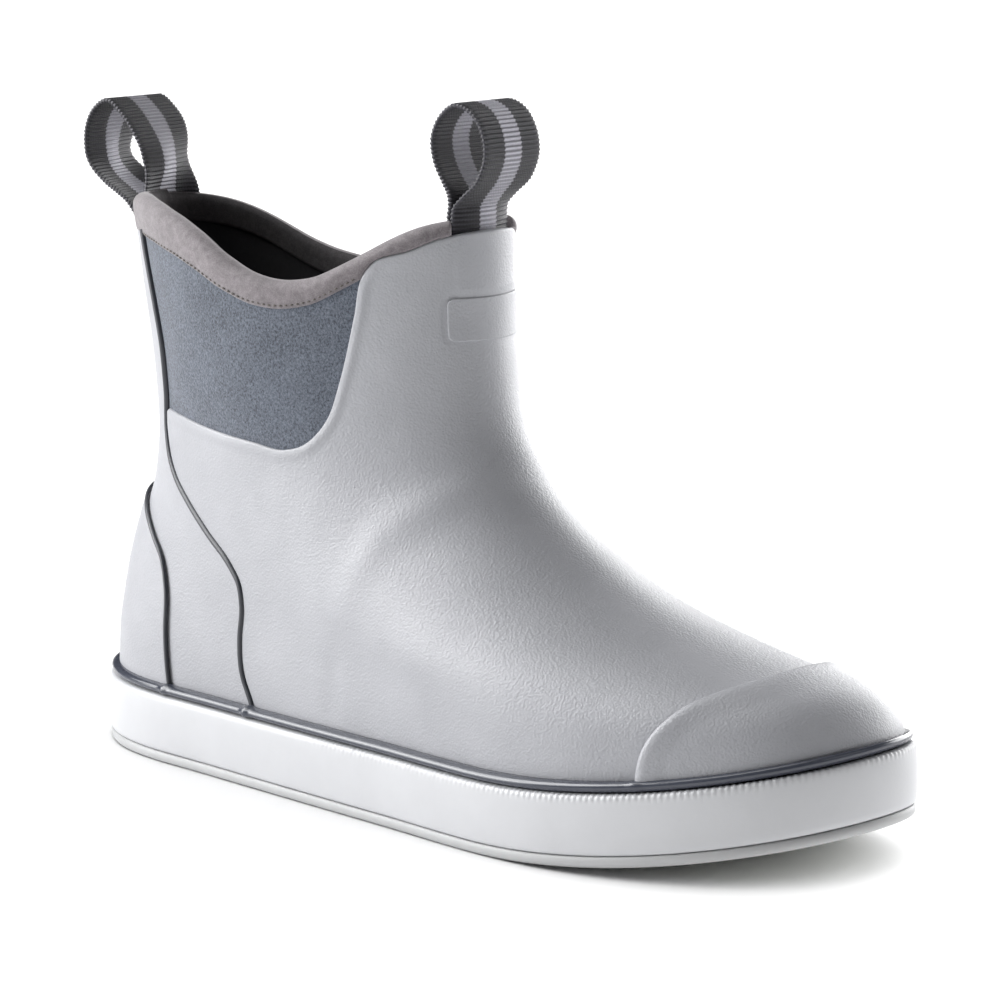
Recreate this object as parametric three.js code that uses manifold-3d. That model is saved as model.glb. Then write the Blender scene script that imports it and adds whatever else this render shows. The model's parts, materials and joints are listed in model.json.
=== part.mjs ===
// One right-foot ankle deck boot, in millimetres, +Z up.
// The toe points along +X, the outer side faces -Y, and the heel stands on z = 0.
// The upper is a set of thin layers laid over one foot-shaped form, so every layer is named by
// its distance from that form: zero is the outer face of the rubber, negative is further inside.
// All pieces are shaped on a flat sole first and then lifted together towards the toe.
import * as THREE from "three";
import { mergeVertices } from "three/addons/utils/BufferGeometryUtils.js";
import Module from "manifold-3d";

const wasm = await Module();
wasm.setup();

// ---- overall sizes ----------------------------------------------------------------------------
const FORM_LENGTH = 299.5;
const WIDTH_SCALE = 1.0;
const SHAFT_LIFT = 0;
const TOE_LIFT = 14.5;
const TOE_LIFT_START = 40;
const CLEARANCE = 0.3;

// ---- layer distances from the form ------------------------------------------------------------
const SHELL_THICKNESS = 2.0;
const GORE_RECESS = 0.7;
const LINING_THICKNESS = 4.0;
const LINING_OUTER = -(SHELL_THICKNESS + CLEARANCE);
const LINING_INNER = LINING_OUTER - LINING_THICKNESS;
const TOE_CAP_THICKNESS = 1.8;
const COUNTER_THICKNESS = 1.0;
const BADGE_THICKNESS = 0.7;
const PIPING_PROUD = 0.7;
const PIPING_HALF_WIDTH = 0.9;
const COUNTER_PIPING_HALF_WIDTH = 0.6;
const STIFFENER_THICKNESS = 1.2;

// ---- heights of the bottom stack, measured on the flat sole -------------------------------------
const OUTSOLE_RIM_HEIGHT = 3.5;
const OUTSOLE_HEIGHT = 6.0;
const BAND_TOP = 22.3;
const BAND_PROJECTION = 4.5;
const BEAD_HEIGHT = 3.1;
const BEAD_PROJECTION = 3.8;
const MIDSOLE_TOP = 19.7;
const BOARD_THICKNESS = 2.0;
const LINING_FLOOR_THICKNESS = 2.7;
const FOOTBED_THICKNESS = 5.7;
const FOOTBED_EASE = 0.7;
const BEAD_BOTTOM = BAND_TOP + CLEARANCE;
const BEAD_TOP = BEAD_BOTTOM + BEAD_HEIGHT;
const BOARD_BOTTOM = MIDSOLE_TOP + CLEARANCE;
const BOARD_TOP = BOARD_BOTTOM + BOARD_THICKNESS;
const LINING_FLOOR_BOTTOM = BOARD_TOP + CLEARANCE;
const LINING_FLOOR_TOP = LINING_FLOOR_BOTTOM + LINING_FLOOR_THICKNESS;
const FOOTBED_BOTTOM = LINING_FLOOR_TOP + CLEARANCE;
const FOOTBED_TOP = FOOTBED_BOTTOM + FOOTBED_THICKNESS;
const UPPER_BOTTOM = OUTSOLE_HEIGHT + CLEARANCE;
const OVERLAY_BOTTOM = BEAD_TOP + CLEARANCE;

// ---- binding, webbing and tread ----------------------------------------------------------------
const BINDING_DEPTH = 8.5;
const BINDING_PROUD = -0.2;
const STITCH_EDGE = 1.4;
const STITCH_BACK = -119;
const STITCH_SIZE = 0.5;
const WEBBING_WIDTH = 25;
const WEBBING_THICKNESS = 1.2;
const TAIL_THICKNESS = 2 * WEBBING_THICKNESS + 0.2;
const TAIL_DEPTH = 30;
const FOLD_ROOM = 1.6;
const GROOVE_DEPTH = 1.6;
const GROOVE_WIDTH = 2.0;
const GROOVE_PITCH = 11;
const GROOVE_SWING = 2.5;
const GROOVE_STEP = 12;
const GROOVE_STEPS = 5;
const GROOVE_MARGIN = 4;
const HEEL_GROOVES = [-132, -33];
const TOE_GROOVES = [45, 133];
const SHANK_WIDTH = 16;
const SHANK_THICKNESS = 2.0;
const SHANK_LENGTH = 96;
const SHANK_MIDDLE = [-62, -3];
const KICK_TAB_WIDTH = 30;
const KICK_TAB_THICKNESS = 2.6;
const KICK_TAB_HEIGHTS = [48, 61];

// ---- mesh density ------------------------------------------------------------------------------
const STATIONS = 40;
const REACH = 120;
const FAR = FORM_LENGTH;
const OVERLAY_TOP = 150;

// ---- the foot-shaped form ----------------------------------------------------------------------
// Outline of the form seen from the side: [height, x] down the heel and down the instep.
const HEEL_LINE = [
  [0, -151], [15, -151], [37, -150], [52, -146.7], [63, -144.3], [75, -141.3],
  [90, -137], [107, -136.3], [130, -138.5], [158, -143.5], [195, -149],
];
const INSTEP_LINE = [
  [0, 148.5], [15, 148.5], [26, 147.5], [34, 143.5], [42, 133.5], [49, 116], [56.5, 96.5],
  [66.5, 73.5], [77, 54.5], [89.5, 35.5], [107, 18], [130, 9], [158, 6.3], [195, 6],
];
// Half widths of the form at a height, given every 30 degrees from the heel round to the toe.
const WIDTHS = [
  [15, [72, 62, 44, 43, 57, 67, 77]],
  [37, [72, 61, 44, 43, 57, 67, 76]],
  [52, [70, 58, 43, 42, 55, 64, 66]],
  [63, [65, 54, 42, 41, 50, 56, 55]],
  [75, [56, 49, 40.5, 40, 45, 48, 46]],
  [90, [45, 43, 39.5, 39.5, 41, 42, 41]],
  [107, [38, 39, 39.5, 40.5, 39.5, 39, 39]],
  [130, [36, 38, 41, 42.5, 40.5, 39.5, 39.5]],
  [158, [36, 38.5, 42, 43.5, 42, 41, 41]],
  [195, [36, 39, 43.5, 45.5, 43.5, 42.5, 42.5]],
];
const ROW_HEIGHTS = [16, 27, 36, 45, 53, 65, 82, 104, 132, 160];
const FORM_TOP = 194;

// A smooth curve through [position, value] pairs that never swings past its points.
function smoothThrough(points) {
  const slopes = points.slice(1).map((p, i) => (p[1] - points[i][1]) / (p[0] - points[i][0]));
  const tangents = points.map((_, i) => {
    const before = slopes[Math.max(i - 1, 0)];
    const after = slopes[Math.min(i, slopes.length - 1)];
    return before * after > 0 ? (2 * before * after) / (before + after) : 0;
  });
  return (at) => {
    const last = points.length - 2;
    let i = 0;
    while (i < last && at > points[i + 1][0]) i += 1;
    const span = points[i + 1][0] - points[i][0];
    const t = THREE.MathUtils.clamp((at - points[i][0]) / span, 0, 1);
    const rest = 1 - t;
    return (
      points[i][1] * (1 + 2 * t) * rest * rest + tangents[i] * span * t * rest * rest +
      points[i + 1][1] * t * t * (3 - 2 * t) - tangents[i + 1] * span * t * t * rest
    );
  };
}

const heelLine = smoothThrough(HEEL_LINE);
const instepLine = smoothThrough(INSTEP_LINE);
const widthLines = WIDTHS[0][1].map((_, k) => smoothThrough(WIDTHS.map((row) => [row[0], row[1][k]])));
const LENGTH_SCALE = FORM_LENGTH / (INSTEP_LINE[0][1] - HEEL_LINE[0][1]);
const SOLE_MIDDLE = (INSTEP_LINE[0][1] + HEEL_LINE[0][1]) / 2;

// The half width at an angle round the form, smooth from one listed angle to the next.
function halfWidth(angle, height) {
  const steps = widthLines.length - 1;
  const folded = Math.abs(Math.atan2(Math.sin(angle), Math.cos(angle)));
  const place = Math.min((folded / Math.PI) * steps, steps - 1e-6);
  const i = Math.floor(place);
  const t = place - i;
  const value = (k) => widthLines[k < 0 ? -k : k > steps ? 2 * steps - k : k](height);
  const [a, b, c, d] = [value(i - 1), value(i), value(i + 1), value(i + 2)];
  const bend = (2 * a - 5 * b + 4 * c - d) * t * t + (3 * b - a - 3 * c + d) * t * t * t;
  return 0.5 * (2 * b + (c - a) * t + bend) * WIDTH_SCALE;
}

// The middle line of the foot swings outwards at the arch and inwards at the toe, low down only.
function middleLine(x, height) {
  const along = THREE.MathUtils.clamp((x - SOLE_MIDDLE) / FORM_LENGTH + 0.5, 0, 1);
  const fade = 1 - THREE.MathUtils.smoothstep(height, 60, 130);
  return (12 * along ** 3 - 4 * Math.sin(Math.PI * along)) * fade;
}

// Heights above the ankle follow the shaft when it is made taller or shorter.
function formHeight(height) {
  return height - SHAFT_LIFT * THREE.MathUtils.smoothstep(height, 100, 170 + SHAFT_LIFT);
}

// A point of the form's own surface: angle 0 is the heel, 90 degrees the outer side, 180 the toe.
function formPoint(angle, height) {
  const level = formHeight(height);
  const back = heelLine(level) * LENGTH_SCALE;
  const front = instepLine(level) * LENGTH_SCALE;
  const x = back + ((front - back) * (1 - Math.cos(angle))) / 2;
  const y = middleLine(x, level) - Math.sin(angle) * halfWidth(angle, level);
  return new THREE.Vector3(x, y, height);
}

// A point a given distance outside (or, negative, inside) the form's surface.
function layerPoint(angle, height, distance) {
  const along = formPoint(angle + 0.02, height).sub(formPoint(angle - 0.02, height));
  const up = formPoint(angle, height + 1.5).sub(formPoint(angle, height - 1.5));
  const normal = along.cross(up).normalize();
  return formPoint(angle, height).addScaledVector(normal, distance);
}

// ---- solids ------------------------------------------------------------------------------------
// Turns a closed three.js geometry into a solid that can be joined and cut.
function solidFrom(geometry) {
  const bare = geometry.clone();
  bare.deleteAttribute("normal");
  bare.deleteAttribute("uv");
  const merged = mergeVertices(bare, 1e-4);
  const mesh = new wasm.Mesh({
    numProp: 3,
    vertProperties: merged.attributes.position.array,
    triVerts: new Uint32Array(merged.index.array),
  });
  return new wasm.Manifold(mesh);
}

// A closed geometry from vertices and triangles.
function geometryFrom(vertices, triangles) {
  const geometry = new THREE.BufferGeometry();
  const flat = vertices.flatMap((v) => [v.x, v.y, v.z]);
  geometry.setAttribute("position", new THREE.Float32BufferAttribute(flat, 3));
  geometry.setIndex(triangles);
  return geometry;
}

// The filled form at one layer distance, between two heights.
function formBody(distance, low, high) {
  const heights = [low, ...ROW_HEIGHTS.filter((h) => h > low + 2 && h < high - 2), high];
  const vertices = [];
  const triangles = [];
  heights.forEach((height) => {
    for (let k = 0; k < STATIONS; k += 1) {
      vertices.push(layerPoint((2 * Math.PI * k) / STATIONS, height, distance));
    }
  });
  for (let row = 0; row < heights.length - 1; row += 1) {
    for (let k = 0; k < STATIONS; k += 1) {
      const a = row * STATIONS + k;
      const b = row * STATIONS + ((k + 1) % STATIONS);
      triangles.push(a, b, a + STATIONS, b, b + STATIONS, a + STATIONS);
    }
  }
  addCap(triangles, 0, false);
  addCap(triangles, (heights.length - 1) * STATIONS, true);
  return solidFrom(geometryFrom(vertices, triangles));
}

// Closes one end of the form with bars that run straight across from side to side.
function addCap(triangles, first, upwards) {
  const bar = (k) => [first + k, first + ((STATIONS - k) % STATIONS)];
  const add = (a, b, c) => triangles.push(...(upwards ? [a, b, c] : [a, c, b]));
  for (let k = 0; k < STATIONS / 2; k += 1) {
    const [outer, inner] = bar(k);
    const [nextOuter, nextInner] = bar(k + 1);
    if (outer !== inner) add(outer, nextOuter, inner);
    if (nextOuter !== nextInner) add(inner, nextOuter, nextInner);
  }
}

// A layer between two distances, over the whole height of the upper.
function layer(inside, outside) {
  const filled = formBody(outside, UPPER_BOTTOM, FORM_TOP + SHAFT_LIFT);
  return filled.subtract(formBody(inside, UPPER_BOTTOM - 2, FORM_TOP + SHAFT_LIFT + 2));
}

// A ring whose section is given as [distance, rise] corners. The height it runs at and the share
// its section is stretched by upwards may both change on the way round.
function ring(section, heightAt, stretchAt = () => 1) {
  const vertices = [];
  const triangles = [];
  const corners = section.length;
  for (let k = 0; k < STATIONS; k += 1) {
    const angle = (2 * Math.PI * k) / STATIONS;
    const height = heightAt(angle);
    const stretch = stretchAt(angle);
    section.forEach(([distance, rise]) => {
      vertices.push(layerPoint(angle, height + rise * stretch, distance));
    });
    const here = k * corners;
    const next = ((k + 1) % STATIONS) * corners;
    for (let c = 0; c < corners; c += 1) {
      const d = (c + 1) % corners;
      triangles.push(here + c, next + c, here + d, here + d, next + c, next + d);
    }
  }
  return solidFrom(geometryFrom(vertices, triangles));
}

function shapeFrom(points) {
  return new THREE.Shape(points.map(([a, b]) => new THREE.Vector2(a, b)));
}

// A block with a side-view outline of [x, z] points, from one y to another.
function sideBlock(points, fromY = -REACH, toY = REACH) {
  const geometry = new THREE.ExtrudeGeometry(shapeFrom(points), {
    depth: toY - fromY,
    bevelEnabled: false,
  });
  geometry.rotateX(Math.PI / 2).translate(0, toY, 0);
  return solidFrom(geometry);
}

// A block with a front-view outline of [y, z] points, from one x to another.
function frontBlock(points, fromX, toX) {
  const geometry = new THREE.ExtrudeGeometry(shapeFrom(points), {
    depth: toX - fromX,
    bevelEnabled: false,
  });
  geometry.rotateX(Math.PI / 2).rotateZ(Math.PI / 2).translate(fromX, 0, 0);
  return solidFrom(geometry);
}

function box(x0, x1, y0, y1, z0, z1) {
  return sideBlock([[x0, z0], [x1, z0], [x1, z1], [x0, z1]], y0, y1);
}

// A strip of constant width that follows a line of [x, z] points.
function ribbon(line, half) {
  const left = [];
  const right = [];
  line.forEach((point, i) => {
    const before = line[Math.max(i - 1, 0)];
    const after = line[Math.min(i + 1, line.length - 1)];
    const length = Math.hypot(after[0] - before[0], after[1] - before[1]);
    const across = [(after[1] - before[1]) / length, -(after[0] - before[0]) / length];
    left.push([point[0] - across[0] * half, point[1] - across[1] * half]);
    right.push([point[0] + across[0] * half, point[1] + across[1] * half]);
  });
  return [...right, ...left.reverse()];
}

const outerSide = (solid) => solid.intersect(box(-FAR, FAR, -REACH, 0, -FAR, FAR));
const innerSide = (solid) => solid.intersect(box(-FAR, FAR, 0, REACH, -FAR, FAR));

const boot = new THREE.Group();
boot.name = "deck_boot";

// How far the sole and everything on it rises at a distance along the foot.
function toeLift(x) {
  const start = TOE_LIFT_START * LENGTH_SCALE;
  const share = Math.max(0, (x - start) / (FORM_LENGTH / 2 - start));
  return TOE_LIFT * share * share;
}

// Lifts a finished solid towards the toe, then names it, colours it and adds it to the boot.
function addPiece(name, solid, colour, roughness, metalness = 0) {
  const mesh = solid.getMesh();
  const geometry = new THREE.BufferGeometry();
  const position = new THREE.Float32BufferAttribute(mesh.vertProperties, 3);
  for (let i = 0; i < position.count; i += 1) {
    position.setZ(i, position.getZ(i) + toeLift(position.getX(i)));
  }
  geometry.setAttribute("position", position);
  geometry.setIndex(new THREE.Uint32BufferAttribute(mesh.triVerts, 1));
  const flat = geometry.toNonIndexed();
  flat.computeVertexNormals();
  const material = new THREE.MeshStandardMaterial({ color: colour, roughness, metalness });
  const piece = new THREE.Mesh(flat, material);
  piece.name = name;
  boot.add(piece);
}

// ---- outlines drawn on the side view, as [x, height] points -------------------------------------
// Top edge of the collar. The inner side is cut lower than the outer side behind the ankle.
const OUTER_RIM = [
  [-152, 180.5], [-140, 182], [-125, 183.5], [-112, 182.5], [-98, 180], [-85, 176], [-71, 169.5],
  [-59, 165], [-48, 163.4], [-38, 164.6], [-28, 169], [-19, 174], [-11, 178.8], [-3, 182.5], [9, 185],
];
const INNER_RIM = [
  [-152, 180.5], [-142, 179.5], [-133, 177.5], [-125, 174.3], [-116, 169.5], [-106, 164.5],
  [-96, 161.5], [-80, 159.5], [-62, 160.5], [-48, 164], [-34, 170], [-19, 176.5], [-5, 182], [9, 185],
];
// How far the binding reaches down from that edge, heel to instep.
const BINDING_DEPTHS = [[-152, 10], [-115, 12.5], [-90, 12], [-66, 10], [-46, 8.5], [-19, 7.5], [9, 8]];
// Seam between the front and the back of the upper, bottom to top.
const MAIN_SEAM = [
  [-57, 2], [-60, 25], [-65, 36], [-66, 47], [-65, 57.5], [-66.5, 64.5], [-71, 69.5], [-83.5, 78],
  [-96.5, 87], [-104, 93], [-109.5, 100], [-112, 108], [-110.5, 121], [-110.5, 136], [-113.5, 149],
  [-119.5, 167.5], [-127, 200],
];
// Top edge of the front rubber: under the gore, up its front side and over the instep.
const FRONT_EDGE = [
  [-125, 115.5], [-110, 115], [-77.5, 112.5], [-59, 111.3], [-46, 110.4], [-39.5, 112.3],
  [-33.5, 117.5], [-30, 123.5], [-28.3, 129], [-25.8, 138.4], [-22.6, 153.6], [-19.5, 167.5],
  [-17, 171], [-7.5, 174.8], [-1, 178.3], [9, 180.9], [20, 181],
];
// Edge of the patch that reinforces the heel, top to bottom.
const COUNTER_EDGE = [
  [-160, 87.5], [-140, 85.5], [-127, 80.5], [-114.5, 72], [-107.5, 65.5], [-104.3, 57.5],
  [-103.3, 43.5], [-102, 31], [-100.2, 20],
];
// Edge of the toe cap, bottom to top.
const TOE_CAP_EDGE = [
  [99.3, 20], [99.8, 26], [100.8, 34], [102.8, 39.3], [105.4, 43.6], [108.5, 47.2], [112, 49.2], [120, 52],
];

// Outlines follow the boot: they stretch with its length, and their upper part rises with the shaft.
const stretched = (points) => points.map(([x, value]) => [x * LENGTH_SCALE, value]);
const raised = (points) => points.map(([x, z]) => [x, z + (z > 100 ? SHAFT_LIFT : 0)]);
const fitted = (points) => stretched(raised(points));

// ---- cutters ------------------------------------------------------------------------------------
const outerRim = smoothThrough(stretched(OUTER_RIM));
const innerRim = smoothThrough(stretched(INNER_RIM));
const bindingDepth = smoothThrough(stretched(BINDING_DEPTHS));
const seamLine = fitted(MAIN_SEAM);
const frontEdge = fitted(FRONT_EDGE);
const counterEdge = fitted(COUNTER_EDGE);
const goreFront = frontEdge[11][0];

// The height of the collar's edge at an angle round the form.
function rimHeight(angle) {
  const rim = Math.sin(angle) >= 0 ? outerRim : innerRim;
  let height = rim(0) + SHAFT_LIFT;
  for (let pass = 0; pass < 8; pass += 1) height = rim(formPoint(angle, height).x) + SHAFT_LIFT;
  return height;
}

const depthAt = (angle) => bindingDepth(formPoint(angle, rimHeight(angle)).x);

// Everything below the binding's lower edge, lowered by a further distance.
function underBinding(further) {
  const side = (turn, fromY, toY) => {
    const edge = [];
    for (let k = 0; k <= STATIONS / 2; k += 1) {
      const angle = (turn * 2 * Math.PI * k) / STATIONS;
      const corner = layerPoint(angle, rimHeight(angle) - depthAt(angle), BINDING_PROUD);
      edge.push([corner.x, corner.z - further]);
    }
    const start = [-FAR, edge[0][1]];
    const end = [FAR, edge.at(-1)[1]];
    return sideBlock([[-FAR, -10], [FAR, -10], end, ...edge.reverse(), start], fromY, toY);
  };
  return side(1, -REACH, 0).add(side(-1, 0, REACH));
}

const behindSeam = sideBlock([[-FAR, seamLine[0][1]], ...seamLine, [-FAR, seamLine.at(-1)[1]]]);
const seamGap = sideBlock(ribbon(seamLine, PIPING_HALF_WIDTH + CLEARANCE));
const underFrontEdge = sideBlock([
  [-FAR, 2], [FAR, 2], [FAR, frontEdge.at(-1)[1]], ...[...frontEdge].reverse(), [-FAR, frontEdge[0][1]],
]);
const frontEdgeGap = sideBlock(ribbon(frontEdge, CLEARANCE));
const counterRegion = sideBlock(fitted([...COUNTER_EDGE, [-160, 20]]));
const toeCapRegion = sideBlock(fitted([...TOE_CAP_EDGE, [170, 70], [170, 20]]));
const aboveBead = box(-FAR, FAR, -REACH, REACH, OVERLAY_BOTTOM, FAR);

// ---- sole -----------------------------------------------------------------------------------------
function zigzagGroove(x) {
  const line = [];
  for (let step = -GROOVE_STEPS; step <= GROOVE_STEPS; step += 1) {
    line.push([x + (step % 2 === 0 ? GROOVE_SWING : -GROOVE_SWING), step * GROOVE_STEP]);
  }
  const geometry = new THREE.ExtrudeGeometry(shapeFrom(ribbon(line, GROOVE_WIDTH / 2)), {
    depth: GROOVE_DEPTH + 1,
    bevelEnabled: false,
  });
  return solidFrom(geometry.translate(0, 0, -1));
}

function makeOutsole() {
  const rim = formBody(BAND_PROJECTION - CLEARANCE, 0, OUTSOLE_RIM_HEIGHT);
  let sole = rim.add(formBody(-CLEARANCE, OUTSOLE_RIM_HEIGHT - 1, OUTSOLE_HEIGHT));
  const field = formBody(-GROOVE_MARGIN, -2, GROOVE_DEPTH);
  [HEEL_GROOVES, TOE_GROOVES].forEach(([first, last]) => {
    for (let x = first * LENGTH_SCALE; x <= last * LENGTH_SCALE; x += GROOVE_PITCH) {
      sole = sole.subtract(zigzagGroove(x).intersect(field));
    }
  });
  return sole;
}

// The shank lies in a slot open at the top of the midsole; the slot is the shank with a margin.
function shankBox(margin) {
  const half = SHANK_LENGTH / 2 + margin;
  const side = SHANK_WIDTH / 2 + margin;
  const x = SHANK_MIDDLE[0] * LENGTH_SCALE;
  const y = SHANK_MIDDLE[1];
  const top = MIDSOLE_TOP - CLEARANCE;
  return box(x - half, x + half, y - side, y + side, top - SHANK_THICKNESS - margin, top + margin * 3);
}

const bandSection = [
  [CLEARANCE, OUTSOLE_RIM_HEIGHT + CLEARANCE],
  [BAND_PROJECTION - 0.2, OUTSOLE_RIM_HEIGHT + CLEARANCE],
  [BAND_PROJECTION, OUTSOLE_RIM_HEIGHT + 2],
  [BAND_PROJECTION, BAND_TOP - 1.5],
  [BAND_PROJECTION - 0.8, BAND_TOP],
  [CLEARANCE, BAND_TOP],
  [CLEARANCE, ROW_HEIGHTS[0]],
];
const beadSection = [
  [CLEARANCE, BEAD_BOTTOM],
  [BEAD_PROJECTION - 0.9, BEAD_BOTTOM],
  [BEAD_PROJECTION, BEAD_BOTTOM + 0.9],
  [BEAD_PROJECTION, BEAD_TOP - 1.2],
  [BEAD_PROJECTION - 1.1, BEAD_TOP - 0.2],
  [CLEARANCE, BEAD_TOP],
];

addPiece("outsole", makeOutsole(), 0xd6d9d2, 0.6);
addPiece("foxing_band", ring(bandSection, () => 0), 0xe6e7ea, 0.45);
addPiece("foxing_bead", ring(beadSection, () => 0), 0x565a64, 0.35);
const midsole = formBody(LINING_OUTER, UPPER_BOTTOM, MIDSOLE_TOP).subtract(shankBox(CLEARANCE));
addPiece("midsole", midsole, 0xb8b8b4, 0.8);
addPiece("shank", shankBox(0), 0x9aa0a6, 0.35, 1);
addPiece("insole_board", formBody(LINING_OUTER, BOARD_BOTTOM, BOARD_TOP), 0x8c7b62, 0.9);
addPiece("footbed", formBody(LINING_INNER - FOOTBED_EASE, FOOTBED_BOTTOM, FOOTBED_TOP), 0x2b2c31, 0.9);

// ---- webbing loops and the tails they are sewn down by ----------------------------------------------
const TAIL_INNER = LINING_OUTER - TAIL_THICKNESS;
function tailStrip(inside, outside, halfWidth, fromX, toX, low, high) {
  const block = frontBlock(
    [[-halfWidth, low], [halfWidth, low], [halfWidth, high], [-halfWidth, high]], fromX, toX);
  return layer(inside, outside).intersect(block);
}
const frontRimHeight = rimHeight(Math.PI);
const backRimHeight = rimHeight(0);
function makeTail(fromX, toX, rimTop) {
  const half = WEBBING_WIDTH / 2;
  const low = rimTop - TAIL_DEPTH;
  return {
    strip: tailStrip(TAIL_INNER, LINING_OUTER, half, fromX, toX, low, rimTop - FOLD_ROOM),
    pocket: tailStrip(TAIL_INNER - CLEARANCE, 3, half + CLEARANCE, fromX, toX, low - CLEARANCE, rimTop + 9),
  };
}
const frontTail = makeTail(-30, 60, frontRimHeight);
const backTail = makeTail(-FAR, -100 * LENGTH_SCALE, backRimHeight);
addPiece("front_loop_tail", frontTail.strip, 0x4b4a52, 0.85);
addPiece("back_loop_tail", backTail.strip, 0x4b4a52, 0.85);

// Centre line of each loop, from one sewn end round to the other, measured from its fold.
const FRONT_LOOP = [
  [-0.8, 0], [-0.9, 3], [-2.2, 6], [-6.5, 11], [-10, 17], [-11, 23.5], [-8, 30], [-1.5, 34.3], [5, 32.6],
  [9.8, 26.5], [11, 19.5], [8, 12], [2.8, 6], [0.9, 3], [0.8, 0],
];
const BACK_LOOP = [
  [0.8, 0], [0.9, 4], [0.6, 12], [-2, 19.5], [-7.5, 26], [-13.5, 29], [-20, 26.3], [-24, 20],
  [-24.5, 12.5], [-20, 7], [-11, 4.6], [-2.4, 2.8], [-0.8, 0],
];
function makeLoop(points, x, z) {
  const bend = new THREE.SplineCurve(points.map(([a, b]) => new THREE.Vector2(x + a, z + b)));
  const line = bend.getPoints(32).map((p) => [p.x, p.y]);
  return sideBlock(ribbon(line, WEBBING_THICKNESS / 2), -WEBBING_WIDTH / 2, WEBBING_WIDTH / 2);
}
const tailMiddle = (LINING_OUTER + TAIL_INNER) / 2;
const frontFold = layerPoint(Math.PI, frontRimHeight, tailMiddle);
const backFold = layerPoint(0, backRimHeight, tailMiddle);
addPiece("front_pull_loop", makeLoop(FRONT_LOOP, frontFold.x, frontFold.z + CLEARANCE), 0x4b4a52, 0.85);
addPiece("back_pull_loop", makeLoop(BACK_LOOP, backFold.x, backFold.z + CLEARANCE), 0x4b4a52, 0.85);

// ---- rubber upper -------------------------------------------------------------------------------------
const rubber = layer(-SHELL_THICKNESS, 0).subtract(seamGap);
const frontShell = rubber.intersect(underFrontEdge).subtract(behindSeam);
const backShell = rubber.intersect(behindSeam).intersect(underBinding(CLEARANCE));
// A layer laid on the outside of the rubber, from the bead upwards.
const overlay = (thickness) => formBody(CLEARANCE + thickness, OUTSOLE_HEIGHT, OVERLAY_TOP)
  .subtract(formBody(CLEARANCE, OUTSOLE_HEIGHT - 2, OVERLAY_TOP + 2))
  .intersect(aboveBead);
addPiece("front_shell", frontShell, 0xb9babf, 0.5);
addPiece("back_shell", backShell, 0xb9babf, 0.5);
addPiece("toe_cap", overlay(TOE_CAP_THICKNESS).intersect(toeCapRegion), 0xb9babf, 0.5);
const counterGap = sideBlock(ribbon(counterEdge, COUNTER_PIPING_HALF_WIDTH + CLEARANCE));
const counterPatch = overlay(COUNTER_THICKNESS).intersect(counterRegion).subtract(counterGap);
addPiece("heel_counter_patch", counterPatch, 0xb4b5bb, 0.5);

const counterPiping = overlay(COUNTER_THICKNESS)
  .intersect(sideBlock(ribbon(counterEdge, COUNTER_PIPING_HALF_WIDTH)));
addPiece("counter_piping", counterPiping, 0x2b2d33, 0.45);

const seamPiping = layer(-SHELL_THICKNESS, PIPING_PROUD)
  .intersect(sideBlock(ribbon(seamLine, PIPING_HALF_WIDTH)))
  .intersect(underBinding(CLEARANCE))
  .subtract(ring([[-3, -4], [3, -4], [3, OVERLAY_BOTTOM], [-3, OVERLAY_BOTTOM]], () => 0));
addPiece("seam_piping_lateral", outerSide(seamPiping), 0x2b2d33, 0.45);
addPiece("seam_piping_medial", innerSide(seamPiping), 0x2b2d33, 0.45);

const badgeOutline = [
  [-16, 148], [-14.5, 146.5], [14.5, 146.5], [16, 148], [16, 158.5], [14.5, 160], [-14.5, 160], [-16, 158.5],
];
const badge = layer(CLEARANCE, CLEARANCE + BADGE_THICKNESS)
  .intersect(frontBlock(raised(badgeOutline), -20, 40));
addPiece("front_badge", badge, 0xbcbdc2, 0.5);

// The kick tab lies on the heel patch and follows the curve of the heel.
const kickTabInside = COUNTER_THICKNESS + CLEARANCE * 2;
const [kickTabBottom, kickTabTop] = KICK_TAB_HEIGHTS;
const kickTabOutline = fitted([
  [-160, kickTabBottom], [-120, kickTabBottom], [-120, kickTabTop], [-160, kickTabTop],
]);
const kickTab = layer(kickTabInside, kickTabInside + KICK_TAB_THICKNESS)
  .intersect(sideBlock(kickTabOutline, -KICK_TAB_WIDTH / 2, KICK_TAB_WIDTH / 2));
addPiece("kick_tab", kickTab, 0x55575e, 0.55);

// ---- stretch gore, collar and lining -------------------------------------------------------------------
const gore = layer(-SHELL_THICKNESS, -GORE_RECESS)
  .intersect(underBinding(CLEARANCE))
  .subtract(underFrontEdge)
  .subtract(frontEdgeGap)
  .subtract(behindSeam)
  .subtract(seamGap)
  .intersect(box(-FAR, goreFront - CLEARANCE, -REACH, REACH, 0, FAR));
addPiece("gore_panel_lateral", outerSide(gore), 0x6f7683, 0.95);
addPiece("gore_panel_medial", innerSide(gore), 0x6f7683, 0.95);

const BINDING_INNER = LINING_INNER - 0.7;
const bindingSection = [
  [BINDING_INNER, -1], [BINDING_PROUD, -1], [BINDING_PROUD, -0.2],
  [BINDING_PROUD - 1.6, -0.03], [BINDING_PROUD - 3.4, 0], [BINDING_INNER + 1.6, -0.03], [BINDING_INNER, -0.2],
];
const underFrontShell = underFrontEdge.add(frontEdgeGap)
  .intersect(layer(LINING_OUTER, 5))
  .intersect(box(goreFront - CLEARANCE * 2, FAR, -REACH, REACH, 0, FAR));
const binding = ring(bindingSection, rimHeight, depthAt)
  .subtract(underFrontShell)
  .subtract(frontTail.pocket)
  .subtract(backTail.pocket);
addPiece("top_binding", binding, 0x8f8a8a, 0.85);

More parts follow.
